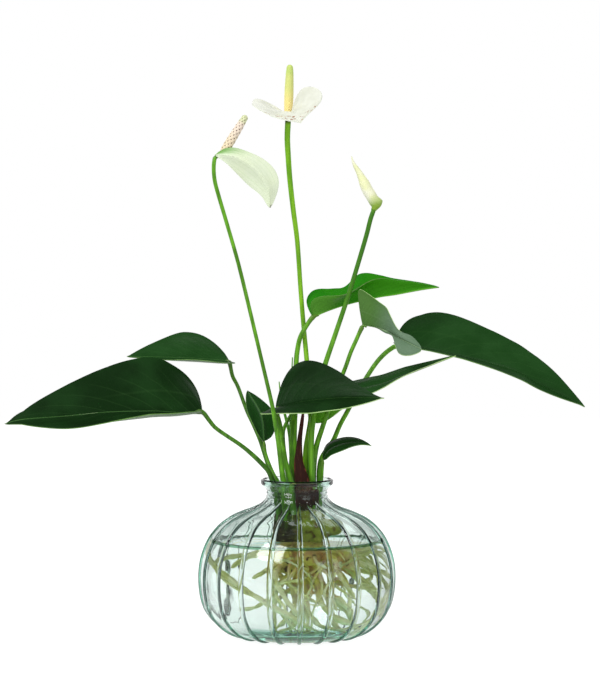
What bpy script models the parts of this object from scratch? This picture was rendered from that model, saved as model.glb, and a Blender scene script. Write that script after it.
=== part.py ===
"""An anthurium growing in water: leaves, flowers and bare roots in a ribbed, bulb-shaped glass vase.

Sizes are in millimetres and become metres where a mesh is made. The origin is the middle of the vase's flat
foot, +Z is up, and -Y is the side that the plant shows: left and right are as seen from there.
"""

import math

import bmesh
import bpy
from mathutils import Matrix, Vector

MM = 0.001
GAP = 0.3  # between two pieces that touch on the real plant

# Vase: glass turned round Z, with beads down its outside
VASE_HEIGHT = 116.0
FOOT_RADIUS = 36.0
WIDEST_RADIUS = 71.3
FLOOR_HEIGHT = 6.0
RIB_COUNT = 20
RIB_HEIGHT = 1.2
RIB_HALF_WIDTH = 1.7
FRONT_RIB_TURN = math.radians(2.1)
FIRST_RIB_TURN = FRONT_RIB_TURN - math.pi / 2 - 2 * math.pi / RIB_COUNT / 3
RIB_TOP = 97.0
RIB_FADE = 8.0  # height over which a rib dies out at the neck
RIB_START = 10.0  # width, beside the foot, over which it rises
# Outer profile, radius and height, from the foot to the lip
OUTSIDE = (
    (0.0, 0.0),
    (FOOT_RADIUS, 0.0),
    (46.0, 2.0),
    (55.0, 6.5),
    (63.5, 14.5),
    (68.8, 24.0),
    (WIDEST_RADIUS, 38.0),
    (70.6, 54.0),
    (66.0, 68.5),
    (59.4, 78.5),
    (51.5, 85.5),
    (42.5, 90.0),
    (34.0, 93.2),
    (27.0, 97.0),
    (23.0, 102.0),
    (22.6, 108.0),
    (26.4, 112.0),
    (26.9, 115.0),
)
# Inner profile, from the lip down to the floor
INSIDE = (
    (25.4, VASE_HEIGHT),
    (20.4, 109.5),
    (20.2, 102.5),
    (25.0, 95.6),
    (33.0, 90.9),
    (41.5, 87.7),
    (50.0, 83.2),
    (57.4, 76.9),
    (63.6, 67.4),
    (68.1, 53.6),
    (68.8, 38.4),
    (66.3, 25.0),
    (60.0, 15.6),
    (50.0, 8.8),
    (36.0, FLOOR_HEIGHT),
    (0.0, FLOOR_HEIGHT),
)
COLUMNS_PER_RIB = 3

WATER_LEVEL = 70.0
WATER_STEPS = 36
TURN_IN_HEIGHT = 30.0  # below this the vase's inner wall turns in to its floor

# Rootstock, above and at the water: centre and half sizes of each lump
CROWN_LUMPS = (
    ((2.0, 0.0, 84.5), (19.5, 14.0, 8.5)),
    ((-8.5, -1.0, 78.0), (9.5, 9.0, 13.5)),
    ((5.0, 1.0, 76.0), (10.0, 9.0, 11.0)),
    ((17.0, -1.0, 80.0), (9.5, 8.0, 7.5)),
    ((27.0, -3.0, 80.5), (6.0, 5.5, 5.0)),
    ((15.5, -4.0, 70.0), (3.6, 3.4, 7.5)),
)
# Swollen mass under it that the roots spring from
ROOT_MASS = ((4.0, 0.0, 59.0), (16.0, 10.5, 9.0))

# Roots: radius near the mass and at the tip, then the route. Each starts inside the mass
ROOTS = (
    ((1.9, 1.5), ((-4, 2, 58), (-22, 22, 60), (-46, 20, 57), (-53, -6, 53), (-34, -31, 40), (-8, -39, 25),
                  (15, -36, 13))),
    ((1.2, 0.9), ((-4, 2, 54), (-20, 14, 52), (-44, 8, 50), (-44, -18, 43), (-22, -31, 33), (2, -33, 21))),
    ((1.9, 1.3), ((-4, -3, 59), (-15, -9, 59), (-29, -12, 56), (-40, -13, 50))),
    ((1.5, 1.0), ((-4, -4, 54), (-17, -14, 49), (-27, -19, 45))),
    ((1.1, 0.8), ((0, -1, 52), (-10, -6, 38), (-22, -11, 28), (-35, -13, 25))),
    ((1.6, 1.2), ((4, -2, 52), (5, -10, 34), (-2, -17, 19), (-12, -22, 13))),
    ((1.7, 1.3), ((-5, -4, 53), (-13, -17, 46), (-8, -26, 35), (1, -29, 23))),
    ((1.8, 1.2), ((12, -2, 54), (24, -9, 51), (38, -9, 52), (50, -4, 47), (58, 6, 41))),
    ((1.6, 1.1), ((12, 1, 59), (26, 4, 61), (42, -2, 60), (54, -8, 56), (60, -8, 49))),
    ((1.5, 1.1), ((13, -3, 54), (24, -17, 48), (31, -23, 40), (37, -24, 32))),
    ((1.4, 1.0), ((12, -2, 52), (26, -8, 45), (31, -12, 34), (30, -12, 22))),
    ((1.6, 1.1), ((6, -4, 52), (12, -14, 42), (14, -19, 31), (22, -17, 22), (34, -10, 19))),
    ((1.6, 1.2), ((8, 4, 52), (14, 14, 36), (20, 4, 20), (30, -8, 12), (42, -10, 18), (52, -4, 30),
                  (58, 6, 44))),
    ((1.3, 1.0), ((10, -2, 52), (23, -3, 41), (36, -5, 38), (48, -3, 36))),
    ((1.4, 1.0), ((3, -4, 52), (6, -15, 28), (14, -22, 18), (26, -22, 15))),
    ((1.5, 1.1), ((8, 5, 56), (14, 22, 50), (28, 29, 40), (41, 22, 27), (45, 6, 18))),
    ((1.5, 1.0), ((0, 5, 55), (-6, 20, 48), (6, 33, 36), (22, 31, 24), (33, 18, 15))),
    ((1.2, 0.8), ((10, 0, 57), (27, 12, 52), (45, 14, 40), (53, -2, 27), (40, -18, 18), (22, -26, 14))),
)
ROOT_SIDES_RESOLUTION = 1

# Distance between two rings of a tube
ROOT_STEP = 14.0
BRACT_STEP = 10.0
STALK_STEP = 13.0
STEM_STEP = 11.0
SOCKET_STEP = 20.0

# Brown bract at the front: radii, then the route up from the rootstock
BRACT_RADII = (5.0, 5.6, 5.5, 4.1, 2.9, 1.7, 1.2, 1.1, 0.4)
BRACT_ROUTE = (
    (5.2, -9.5, 90.0), (5.2, -10.0, 104.0), (3.4, -12.0, 116.8), (1.2, -12.4, 128.5), (1.4, -12.6, 138.0),
    (2.1, -13.0, 147.5), (3.3, -13.0, 156.5), (4.4, -13.0, 165.0), (4.8, -13.0, 170.0),
)
BRACT_FLATNESS = 0.4

# Rolled young leaves that stand among the stalks
YOUNG_LEAVES = {
    "young_leaf_1": ((1.5, 1.5, 1.2, 0.4), (
        (-3.2, 1.8, 84.5), (-3.6, 1.6, 104.0), (-3.9, 2.2, 118.5), (-4.4, 7.0, 133.0), (-5.6, 12.0, 148.0),
        (-8.4, 14.0, 160.0), (-11.9, 14.0, 175.7), (-13.3, 14.0, 186.9))),
    "young_leaf_2": ((1.4, 1.4, 1.1, 0.4), (
        (1.0, 4.8, 84.5), (0.8, 4.6, 104.0), (-1.6, 6.5, 118.0), (-3.8, 12.4, 132.7), (-4.4, 18.0, 148.0),
        (-4.7, 19.0, 162.0), (-4.1, 18.6, 184.5), (-3.4, 18.6, 204.9))),
}

# Leaf blades. The midrib runs from the stalk to the tip. A wing is the way from the midrib to the edge where
# the blade is widest, at even stations from the stalk to the tip. The far wing is the upper or rear one. An
# edge's shape is how it swells from the stalk, how it narrows to the tip, and how far its lobe reaches back.
# Arch: how much the wings bulge. Wave: how much the edges wave. Seat: room over a stalk that comes square on.
LEAF_THICKNESS = 0.9
LOBE_REACH = 0.12  # share of the length where a lobe reaches furthest back
MIDRIB_LEAD = 1.4  # over 1, the middle of a row lies nearer to the stalk than its ends
SIDE_CURVE = 1.3  # how the side veins bend forward on their way out
ARCH_SPREAD = 1.15  # over 1, a wing turns flat before its edge
WAVE_COUNT = 1.6
WAVE_START = 0.15
ROW_CROWDING = 1.3  # over 1, the rows lie closer at the stalk
BLADE_ROWS = 12
SPATHE_ROWS = 10
BLADE_COLUMNS = 6
LEAVES = {
    "leaf_1": {
        "midrib": ((-69.6, -8, 165.7), (-88.0, -12, 165.2), (-104.8, -18, 166.4), (-137.5, -27, 166.2),
                   (-164.3, -34, 164.0), (-196.4, -42, 161.9), (-209.2, -45, 158.9)),
        "far": ((-2, 33, 40), (-2, 33, 40)), "far_edge": (0.6, 1.25, 0.0),
        "near": ((0, -42, 7), (0, -42, -2), (0, -40, -9), (0, -36, -10)), "near_edge": (0.6, 1.05, 0.03),
        "arch": 2.0, "wave": 0.6,
        "stalk_radii": (2.2, 1.9, 1.5, 1.7),
        "stalk": ((-13.0, -4.2, 84.5), (-15.5, -5.0, 104.0), (-19.8, -7.0, 120.0), (-25.7, -8.0, 127.5),
                  (-33.7, -8.5, 135.2), (-41.8, -9.0, 141.8), (-58.6, -9.0, 153.2), (-64.5, -8.5, 159.8)),
    },
    "leaf_2": {
        "midrib": ((-51.0, 30, 201.3), (-80.7, 39, 203.2), (-129.5, 55, 203.8)),
        "far": ((-7, 24, 20), (-3, 24, 17)), "far_edge": (0.6, 1.05, 0.0),
        "near": ((0, -28, 0), (0, -28, -1)), "near_edge": (0.6, 1.05, 0.16),
        "seat": 0.6, "arch": 1.5, "wave": 0.6,
        "stalk_radii": (2.1, 1.8, 1.4, 1.5),
        "stalk": ((-12.6, 3.2, 84.5), (-14.5, 3.8, 104.0), (-16.3, 5.5, 112.5), (-18.5, 7.5, 118.3),
                  (-21.5, 10.0, 126.1), (-24.5, 12.5, 134.8), (-27.5, 15.0, 143.5), (-32.4, 18.0, 154.4),
                  (-37.4, 22.0, 164.6), (-44.2, 27.0, 182.3), (-48.4, 29.0, 190.5)),
    },
    "leaf_3": {
        "midrib": ((-24.5, 7.0, 143.2), (-26.8, 14.0, 162.1), (-37.4, 25.0, 179.4)),
        "far": ((9, 9, 3), (9, 9, 3)), "far_edge": (0.3, 0.7, 0.0),
        "near": ((-4, -7, -3), (-5, -8, -3)), "near_edge": (1.6, 0.8, 0.0),
        "arch": 1.0, "wave": 0.3,
        "stalk_radii": (1.5, 1.4, 1.1, 1.1),
        "stalk": ((-9.4, -1.2, 84.5), (-10.8, -1.5, 104.0), (-13.7, -0.5, 113.4), (-16.8, 1.5, 118.5),
                  (-20.2, 4.5, 125.8), (-23.4, 6.5, 134.8)),
    },
    "leaf_4": {
        "midrib": ((-15.4, -4, 167.6), (3.7, -14, 173.3), (31.1, -32, 177.2), (62.1, -50, 178.4)),
        "far": ((0, 18, 30), (0, 18, 27)), "far_edge": (0.55, 1.5, 0.0),
        "near": ((0, -22, 5), (0, -26, -9.5), (0, -24, -9.5), (0, -20, -9.5)),
        "near_edge": (0.6, 1.05, 0.26),
        "seat": 0.6, "arch": 2.0, "wave": 0.4,
        "stalk_radii": (2.3, 2.1, 1.8, 1.6),
        "stalk": ((-2.2, -9.6, 84.5), (-3.2, -11.5, 104.0), (-5.0, -11.8, 116.8), (-7.4, -11.5, 124.8),
                  (-9.6, -11.0, 134.3), (-11.4, -8.0, 145.1), (-12.5, -6.0, 156.0)),
    },
    "leaf_5": {
        "midrib": ((11.8, 12, 234.9), (23.7, 14, 240.1), (37.9, 17, 244.5), (59.5, 21, 249.3),
                   (73.8, 24, 251.5), (91.9, 28, 254.9), (106.3, 30, 257.1)),
        "far": ((-9, 14, 15), (-9.3, 14, 16.5), (-7.1, 14, 12.8), (-9.9, 14, 11.6), (-13.1, 14, 20.4),
                (-13.9, 14, 21), (-14.5, 14, 18.4), (-13.9, 14, 17.5), (-12, 14, 17)),
        "far_edge": (0.3, 0.85, 0.03),
        "near": ((-6, -8, 17), (0, -10, 8), (0, -6, 16), (0, -4, 15), (0, -4, 12)),
        "near_edge": (0.3, 0.85, 0.0),
        "arch": 1.0, "wave": 0.3,
        "stalk_radii": (2.6, 2.7, 2.0, 1.6),
        "stalk": ((-2.8, -3.0, 84.5), (-4.0, -5.0, 104.0), (-3.7, -4.5, 119.1), (-3.0, -2.0, 133.6),
                  (-2.6, 1.0, 148.8), (-2.0, 4.4, 162.6), (-1.2, 9.0, 180.9), (-0.6, 13.4, 201.6),
                  (0.3, 13.2, 210.5), (2.2, 12.4, 219.4), (6.4, 12.0, 227.5)),
    },
    "leaf_6": {
        "midrib": ((48.5, 0, 228.6), (57.2, -4, 227.5), (65.1, -10, 225.1), (71.4, -16, 221.9),
                   (80.5, -24, 217.0), (89.8, -31, 212.5)),
        "far": ((-9.6, -8, 33), (-5.2, -5, 25.4), (-2.9, -5, 20.9), (-2.1, -3, 18.7), (-4.7, 0, 15.9),
                (-5.2, 4, 10.4), (-1.1, 8, 11.7), (1, 8, 10)),
        "far_edge": (0.14, 0.5, 0.0),
        "near": ((0, 12, 9), (0, 12, 8), (0, 10, 5), (-0.9, 4, -0.4), (-2.6, 0, -0.7), (-5.6, -8, -9.9),
                 (-3.9, -10, -11.2), (0, -8, -8)),
        "near_edge": (0.4, 0.5, 0.0),
        "arch": 1.0, "wave": 0.0,
        "seat": 0.6,
        "stalk_radii": (2.2, 2.0, 1.6, 1.5),
        "stalk": ((11.4, 4.4, 84.5), (12.2, 4.5, 104.0), (12.0, 2.4, 114.8), (12.2, 1.5, 122.2),
                  (12.9, 0.4, 131.2), (14.7, -1.8, 141.6), (18.0, -3.4, 152.0), (22.0, -4.0, 163.9),
                  (26.5, -2.0, 175.5), (31.6, 0.0, 188.0), (36.0, 0.0, 199.1), (39.3, 0.0, 208.6),
                  (43.0, 0.0, 217.0)),
    },
    "leaf_7": {
        "midrib": ((75.1, 34, 212.8), (94.8, 30, 210.7), (124.7, 24, 204.9), (160.5, 16, 195.5),
                   (179.5, 13, 185.2), (212.8, 6, 168.9)),
        "far": ((0, 30, 28.5), (0, 28, 28)), "far_edge": (0.42, 1.0, 0.0),
        "near": ((0, -38, 5), (0, -32, -7)), "near_edge": (0.6, 1.05, 0.1),
        "arch": 2.0, "wave": 0.8,
        "seat": 0.6,
        "stalk_radii": (2.0, 1.8, 1.7, 1.8),
        "stalk": ((16.0, 1.6, 84.5), (16.8, 0.5, 104.0), (16.2, 1.0, 116.4), (16.6, 2.5, 124.4),
                  (18.1, 4.0, 130.9), (22.2, 7.0, 137.3), (27.0, 10.0, 143.8), (31.9, 15.0, 154.6),
                  (37.2, 19.0, 164.0), (44.8, 24.0, 178.0), (52.0, 28.0, 189.5), (58.9, 31.0, 199.6),
                  (64.6, 32.4, 206.0), (70.3, 33.4, 210.6)),
    },
    "leaf_8": {
        "midrib": ((8.1, 15, 169.5), (31.8, 8, 178.1), (53.0, 1, 183.6), (63.9, -2, 186.3),
                   (79.9, -7, 193.1), (115.3, -18, 207.6)),
        "far": ((0, 16, 6.5), (0, 16, 6.5)), "far_edge": (0.6, 1.05, 0.06),
        "near": ((0, -7, -25), (0, -14, -8), (0, -14, 0), (0, -14, 0)), "near_edge": (0.35, 1.05, 0.0),
        "arch": 1.0, "wave": 0.4,
        "seat": 0.6,
        "stalk_radii": (1.8, 1.7, 1.4, 1.3),
        "stalk": ((-4.8, 6.2, 84.5), (-6.0, 5.5, 104.0), (-6.3, 5.3, 113.0), (-7.4, 5.0, 121.9),
                  (-8.8, 4.6, 130.9), (-10.0, 5.0, 140.5), (-10.2, 6.0, 150.2), (-7.8, 9.0, 156.7),
                  (-3.7, 12.0, 162.8), (2.2, 14.0, 167.2)),
    },
    "leaf_9": {
        "midrib": ((19.1, -8, 131.1), (24.2, -10, 138.6), (35.0, -15, 143.4), (45.8, -23, 144.7),
                   (54.0, -30, 142.8)),
        "far": ((-2, 11, 4), (0, 11, 3)), "far_edge": (0.6, 1.05, 0.0),
        "near": ((2, -10, -4), (0, -10, -3)), "near_edge": (0.6, 1.05, 0.0),
        "arch": 1.0, "wave": 0.3,
        "stalk_radii": (1.3, 1.2, 1.0, 1.0),
        "stalk": ((15.6, -4.0, 84.5), (16.5, -5.0, 104.0), (18.2, -6.0, 115.5), (18.6, -7.0, 121.5)),
    },
}

# Flower stems: radii, then the route up from the rootstock
FLOWER_STEMS = {
    "flower_1_stem": ((2.6, 1.8, 1.4, 1.4, 1.4, 1.5), (
        (-7.8, -8.4, 84.5), (-9.0, -12.0, 104.0), (-10.2, -15.0, 117.0), (-11.3, -17.5, 125.3),
        (-12.2, -19.0, 133.4), (-13.8, -21.5, 146.1), (-15.8, -25.0, 158.7), (-18.0, -28.0, 171.9),
        (-25.2, -31.0, 203.2), (-34.0, -34.0, 240.7), (-42.4, -36.0, 275.2), (-51.0, -38.0, 305.3),
        (-55.9, -38.5, 321.9), (-58.7, -38.5, 332.4), (-59.6, -38.0, 340.3), (-59.4, -37.5, 346.6),
        (-58.4, -37.0, 350.4))),
    "flower_2_stem": ((2.6, 2.2, 1.8, 1.7, 1.9, 2.2), (
        (6.0, 1.0, 84.5), (5.5, -1.0, 104.0), (6.3, 0.0, 115.0), (6.3, 0.7, 127.5), (7.0, 1.8, 139.2),
        (8.8, 3.2, 150.2), (10.3, 4.6, 162.0), (9.2, 9.0, 180.9), (7.2, 13.8, 203.0), (4.8, 18.0, 228.9),
        (2.6, 18.5, 256.0), (0.2, 18.0, 290.6), (-2.8, 18.0, 314.2), (-5.3, 17.0, 336.5), (-6.4, 16.0, 351.4),
        (-7.2, 15.0, 366.2), (-6.8, 14.0, 377.6))),
    "flower_3_stem": ((2.4, 2.3, 1.9, 1.7, 1.7), (
        (11.6, -1.6, 84.5), (11.5, -2.5, 104.0), (10.9, -4.2, 115.4), (10.5, -4.8, 127.9),
        (10.2, -5.2, 139.7), (10.6, -4.4, 150.7), (12.2, -2.4, 162.3), (15.1, 2.0, 179.8),
        (20.6, 4.0, 199.7), (29.8, 2.5, 227.0), (39.0, 1.0, 255.0), (49.9, -3.0, 291.6),
        (53.7, -5.0, 306.5), (55.8, -5.0, 312.6))),
}

# Open spathes, in the same terms as a leaf
SPATHES = {
    "flower_1_spathe": {
        "midrib": ((-58.6, -39.8, 351.6), (-43.6, -40.5, 350.2), (-30.0, -40, 341.6), (-20.7, -38, 328.2),
                   (-19.1, -34, 314.2)),
        "far": ((0, 2, 11), (11, 10, 0)), "far_edge": (0.9, 0.8, 0.0),
        "near": ((-6, 8, -13), (-9, 8, -3)), "near_edge": (0.9, 0.8, 0.0),
        "arch": -1.5, "wave": 0.6,
    },
    "flower_2_spathe": {
        "midrib": ((-6.0, 10.4, 379.6), (-3.0, -6.0, 377.2), (2.6, -30, 375.6)),
        "far": ((5.8, -8, 17.3), (8.3, -1, 25.6), (18.7, 1, 24.3), (20.4, -1, 17.1), (11, -8, 11)),
        "far_edge": (0.5, 0.7, 0.1),
        "near": ((-3, -2, 14), (-24, 3, 18.4), (-29.3, 1, 14.1), (-26.9, -4, 7.7), (-29.5, -12, 1.5)),
        "near_edge": (0.6, 0.7, 0.1),
        "arch": -1.5, "wave": 0.8,
    },
}
SPATHE_THICKNESS = 0.9

# Rolled spathe of the closed flower: radii, then the route
ROLLED_RADII = (1.9, 3.9, 4.2, 4.2, 3.9, 2.7, 1.8, 1.0, 0.3)
ROLLED_ROUTE = (
    (55.9, -5.0, 313.0), (57.0, -5.0, 316.8), (54.8, -5.2, 322.4), (51.6, -5.6, 327.5), (49.4, -6.0, 332.1),
    (45.8, -6.6, 340.0), (42.1, -7.2, 346.3), (40.6, -7.6, 349.9), (39.8, -8.0, 352.8),
)
ROLL_STEP = 0.22  # how far the free edge stands off, as a share of the radius
FREE_EDGE = 0.9  # share of a turn where it lies
ROLL_START = -1.2
ROLL_TWIST = 0.25
ROLLED_COLUMNS = 12
ROLLED_ROWS = 14

# Spadices: radii, then the base and the tip
SPADICES = {
    "flower_1_spadix": ((1.5, 2.6, 2.9, 2.8, 2.5, 2.2, 1.7), ((-54.4, -36.1, 350.9), (-36.4, -31.5, 380.6))),
    "flower_2_spadix": ((2.0, 2.9, 3.3, 3.3, 3.1, 2.8, 2.1), ((-6.8, 14.4, 378.1), (-5.2, 10.0, 421.1))),
}
BUMP_ROWS = 16
BUMP_COLUMNS = 12
BUMP_HEIGHT = 0.12  # as a share of the radius

COLOURS = {
    "glass": (0.72, 0.88, 0.84), "water": (0.82, 0.93, 0.90), "crown": (0.16, 0.13, 0.05),
    "root": (0.45, 0.44, 0.20), "bract": (0.08, 0.02, 0.015), "young_leaf": (0.25, 0.50, 0.12),
    "dark_leaf": (0.02, 0.09, 0.03), "bright_leaf": (0.06, 0.33, 0.01), "pale_leaf": (0.14, 0.30, 0.12),
    "stalk": (0.13, 0.40, 0.04), "spathe": (0.84, 0.87, 0.76), "closed_spathe": (0.84, 0.86, 0.52),
    "brown_spadix": (0.62, 0.48, 0.38), "yellow_spadix": (0.80, 0.78, 0.30),
}
LEAF_COLOURS = {"leaf_5": "bright_leaf", "leaf_6": "pale_leaf"}


def clear_scene():
    for obj in list(bpy.data.objects):
        bpy.data.objects.remove(obj)


def new_collection(name):
    collection = bpy.data.collections.new(name)
    bpy.context.scene.collection.children.link(collection)
    return collection


def material(name):
    """The named colour as a Principled material, made once."""
    found = bpy.data.materials.get(name)
    if found:
        return found
    made = bpy.data.materials.new(name)
    made.use_nodes = True
    shader = made.node_tree.nodes["Principled BSDF"]
    shader.inputs["Base Color"].default_value = (*COLOURS[name], 1.0)
    shader.inputs["Roughness"].default_value = 0.4
    if name in ("glass", "water"):
        shader.inputs["Roughness"].default_value = 0.02
        shader.inputs["Transmission Weight"].default_value = 1.0
        shader.inputs["IOR"].default_value = 1.5 if name == "glass" else 1.333
    return made


def route_at(points, share):
    """A place on the smooth curve through the points. A share under 0 runs straight back past the start."""
    points = [Vector(p) for p in points]
    lengths = [(b - a).length for a, b in zip(points, points[1:])]
    if share <= 0.0:
        start = (points[1] - points[0]).normalized()
        return points[0] + start * share * sum(lengths)
    left = min(share, 1.0) * sum(lengths)
    index = 0
    while index < len(lengths) - 1 and left > lengths[index]:
        left -= lengths[index]
        index += 1
    t = min(left / lengths[index], 1.0)
    p1, p2 = points[index], points[index + 1]
    p0 = points[index - 1] if index > 0 else p1 * 2 - p2
    p3 = points[index + 2] if index + 2 < len(points) else p2 * 2 - p1
    return 0.5 * (
        p1 * 2
        + (p2 - p0) * t
        + (p0 * 2 - p1 * 5 + p2 * 4 - p3) * t**2
        + (p1 * 3 - p0 - p2 * 3 + p3) * t**3
    )


def value_at(values, share):
    """A value read along a list of evenly spaced ones."""
    place = min(max(share, 0.0), 1.0) * (len(values) - 1)
    index = min(int(place), len(values) - 2)
    return values[index] + (values[index + 1] - values[index]) * (place - index)


def route_length(points):
    return sum((Vector(b) - Vector(a)).length for a, b in zip(points, points[1:]))


def tube(name, collection, points, radii, step, resolution=2, fatter=0.0):
    """A round tube along the smooth route, as a curve object. A fatter one is also longer at both ends."""
    count = max(3, round(route_length(points) / step) + 1)
    places = [route_at(points, i / (count - 1)) for i in range(count)]
    if fatter:
        places[0] += (places[0] - places[1]).normalized() * fatter
        places[-1] += (places[-1] - places[-2]).normalized() * fatter
    data = bpy.data.curves.new(name, "CURVE")
    data.dimensions = "3D"
    data.bevel_depth = MM
    data.bevel_resolution = resolution
    data.use_fill_caps = True
    spline = data.splines.new("POLY")
    spline.points.add(count - 1)
    for i, (point, place) in enumerate(zip(spline.points, places)):
        point.co = (*(place * MM), 1.0)
        point.radius = value_at(radii, i / (count - 1)) + fatter
    obj = bpy.data.objects.new(name, data)
    collection.objects.link(obj)
    return obj


def as_mesh(obj, collection):
    """The object as a welded mesh object of the same name, for a Boolean."""
    bpy.context.view_layer.update()
    graph = bpy.context.evaluated_depsgraph_get()
    data = bpy.data.meshes.new_from_object(obj.evaluated_get(graph))
    mesh = bmesh.new()
    mesh.from_mesh(data)
    bmesh.ops.remove_doubles(mesh, verts=mesh.verts, dist=1e-6)
    bmesh.ops.recalc_face_normals(mesh, faces=mesh.faces)
    mesh.to_mesh(data)
    mesh.free()
    name = obj.name
    placed = obj.matrix_world.copy()
    bpy.data.objects.remove(obj)
    made = bpy.data.objects.new(name, data)
    made.matrix_world = placed
    collection.objects.link(made)
    return made


def lump(name, collection, centre, halves, fatter=0.0, subdivisions=2):
    """An ellipsoid from an icosphere."""
    mesh = bmesh.new()
    bmesh.ops.create_icosphere(mesh, subdivisions=subdivisions, radius=1.0)
    for vert in mesh.verts:
        stretched = Vector(c * (h + fatter) for c, h in zip(vert.co, halves))
        vert.co = (Vector(centre) + stretched) * MM
    return finish_mesh(name, collection, mesh)


def finish_mesh(name, collection, mesh):
    bmesh.ops.recalc_face_normals(mesh, faces=mesh.faces)
    data = bpy.data.meshes.new(name)
    mesh.to_mesh(data)
    mesh.free()
    obj = bpy.data.objects.new(name, data)
    collection.objects.link(obj)
    return obj


def keep_largest_shell(obj):
    """Drops the scraps and sealed pockets that a Boolean leaves."""
    mesh = bmesh.new()
    mesh.from_mesh(obj.data)
    left = set(mesh.verts)
    shells = []
    while left:
        shell = set()
        waiting = [left.pop()]
        while waiting:
            vert = waiting.pop()
            shell.add(vert)
            linked = {edge.other_vert(vert) for edge in vert.link_edges} & left
            left -= linked
            waiting.extend(linked)
        shells.append(shell)
    largest = max(shells, key=len)
    scraps = [vert for shell in shells if shell is not largest for vert in shell]
    bmesh.ops.delete(mesh, geom=scraps, context="VERTS")
    mesh.to_mesh(obj.data)
    mesh.free()


def combine(obj, others, operation, name):
    """The object joined with the others, or cut by them, by one Boolean that is applied."""
    helper = new_collection(name + " others")
    for other in others:
        for holder in list(other.users_collection):
            holder.objects.unlink(other)
        helper.objects.link(other)
    boolean = obj.modifiers.new("combine", "BOOLEAN")
    boolean.operation = operation
    boolean.operand_type = "COLLECTION"
    boolean.collection = helper
    boolean.solver = "MANIFOLD"
    home = obj.users_collection[0]
    made = as_mesh(obj, home)
    made.name = name
    made.modifiers.clear()
    for other in others:
        bpy.data.objects.remove(other)
    bpy.data.collections.remove(helper)
    keep_largest_shell(made)
    return made


def wrapped_grid(columns, rows, place):
    """A grid whose vertex at the shares u and v, from 0 to 1, goes to place(u, v), in triangles."""
    mesh = bmesh.new()
    bmesh.ops.create_grid(mesh, x_segments=rows, y_segments=columns, size=0.5)
    for vert in mesh.verts:
        vert.co = place(vert.co.x + 0.5, vert.co.y + 0.5) * MM
    bmesh.ops.remove_doubles(mesh, verts=mesh.verts, dist=1e-6)
    bmesh.ops.triangulate(mesh, faces=mesh.faces)
    return mesh


def shade_round(obj):
    obj.data.shade_smooth()


# Vase and water


def vase_place(radius, height, column):
    """A point of a turned profile at a column. Three columns make a rib: its two feet and its crest."""
    rib, part = divmod(column, COLUMNS_PER_RIB)
    pitch = 2 * math.pi / RIB_COUNT
    foot_angle = RIB_HALF_WIDTH / WIDEST_RADIUS
    turn = pitch / COLUMNS_PER_RIB + rib * pitch + (part - 1) * foot_angle
    return Vector((radius * math.cos(turn), radius * math.sin(turn), height)) * MM


def rib_height(radius, height):
    """How far a crest stands out: full on the bulb, fading at the neck and under the foot's edge."""
    at_top = min(max((RIB_TOP - height) / RIB_FADE + 0.5, 0.0), 1.0)
    at_foot = min(max((radius - FOOT_RADIUS) / RIB_START, 0.0), 1.0)
    if height > TURN_IN_HEIGHT:
        at_foot = 1.0
    return RIB_HEIGHT * min(at_top, at_foot)


def crest_direction(index):
    """Unit normal of the outer profile at a point, in radius and height."""
    before = OUTSIDE[max(index - 1, 0)]
    after = OUTSIDE[min(index + 1, len(OUTSIDE) - 1)]
    along = Vector((after[0] - before[0], after[1] - before[1])).normalized()
    return along.y, -along.x


def make_vase(collection):
    profile = OUTSIDE + INSIDE
    mesh = bmesh.new()
    columns = RIB_COUNT * COLUMNS_PER_RIB
    start = [mesh.verts.new((radius * MM, 0.0, height * MM)) for radius, height in profile]
    edges = [mesh.edges.new(pair) for pair in zip(start, start[1:])]
    bmesh.ops.spin(
        mesh, geom=start + edges, axis=(0, 0, 1), cent=(0, 0, 0),
        angle=2 * math.pi, steps=columns, use_duplicate=False,
    )
    bmesh.ops.remove_doubles(mesh, verts=mesh.verts, dist=1e-6)
    # On the outside each turned vertex goes from its even turn to its rib column, and the crests stand out
    for vert in mesh.verts:
        radius = math.hypot(vert.co.x, vert.co.y) / MM
        height = vert.co.z / MM
        index = min(
            range(len(profile)),
            key=lambda i: (profile[i][0] - radius) ** 2 + (profile[i][1] - height) ** 2,
        )
        column = round(math.atan2(vert.co.y, vert.co.x) / (2 * math.pi) * columns) % columns
        if index >= len(OUTSIDE):
            continue
        if column % COLUMNS_PER_RIB == 1:
            out, up = crest_direction(index)
            raised = rib_height(radius, height)
            radius += out * raised
            height += up * raised
        vert.co = vase_place(radius, height, column)
    bmesh.ops.rotate(
        mesh, verts=mesh.verts, cent=(0, 0, 0), matrix=Matrix.Rotation(FIRST_RIB_TURN, 3, "Z")
    )
    obj = finish_mesh("vase", collection, mesh)
    obj.data.materials.append(material("glass"))
    shade_round(obj)
    return obj


def water_profile():
    """The inner profile up to the water level, kept off the glass, from the level down to the floor."""
    below = [(radius, height) for radius, height in INSIDE if height < WATER_LEVEL]
    above = [(radius, height) for radius, height in INSIDE if height >= WATER_LEVEL][-1]
    share = (WATER_LEVEL - below[0][1]) / (above[1] - below[0][1])
    edge = (below[0][0] + (above[0] - below[0][0]) * share, WATER_LEVEL)
    kept = [(0.0, WATER_LEVEL), edge, *below]
    clear = 2 * GAP
    points = []
    for i, (radius, height) in enumerate(kept):
        lift = clear if height < TURN_IN_HEIGHT and i > 1 else 0.0
        points.append((max(radius - clear, 0.0) if radius else 0.0, height + lift))
    return points


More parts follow.
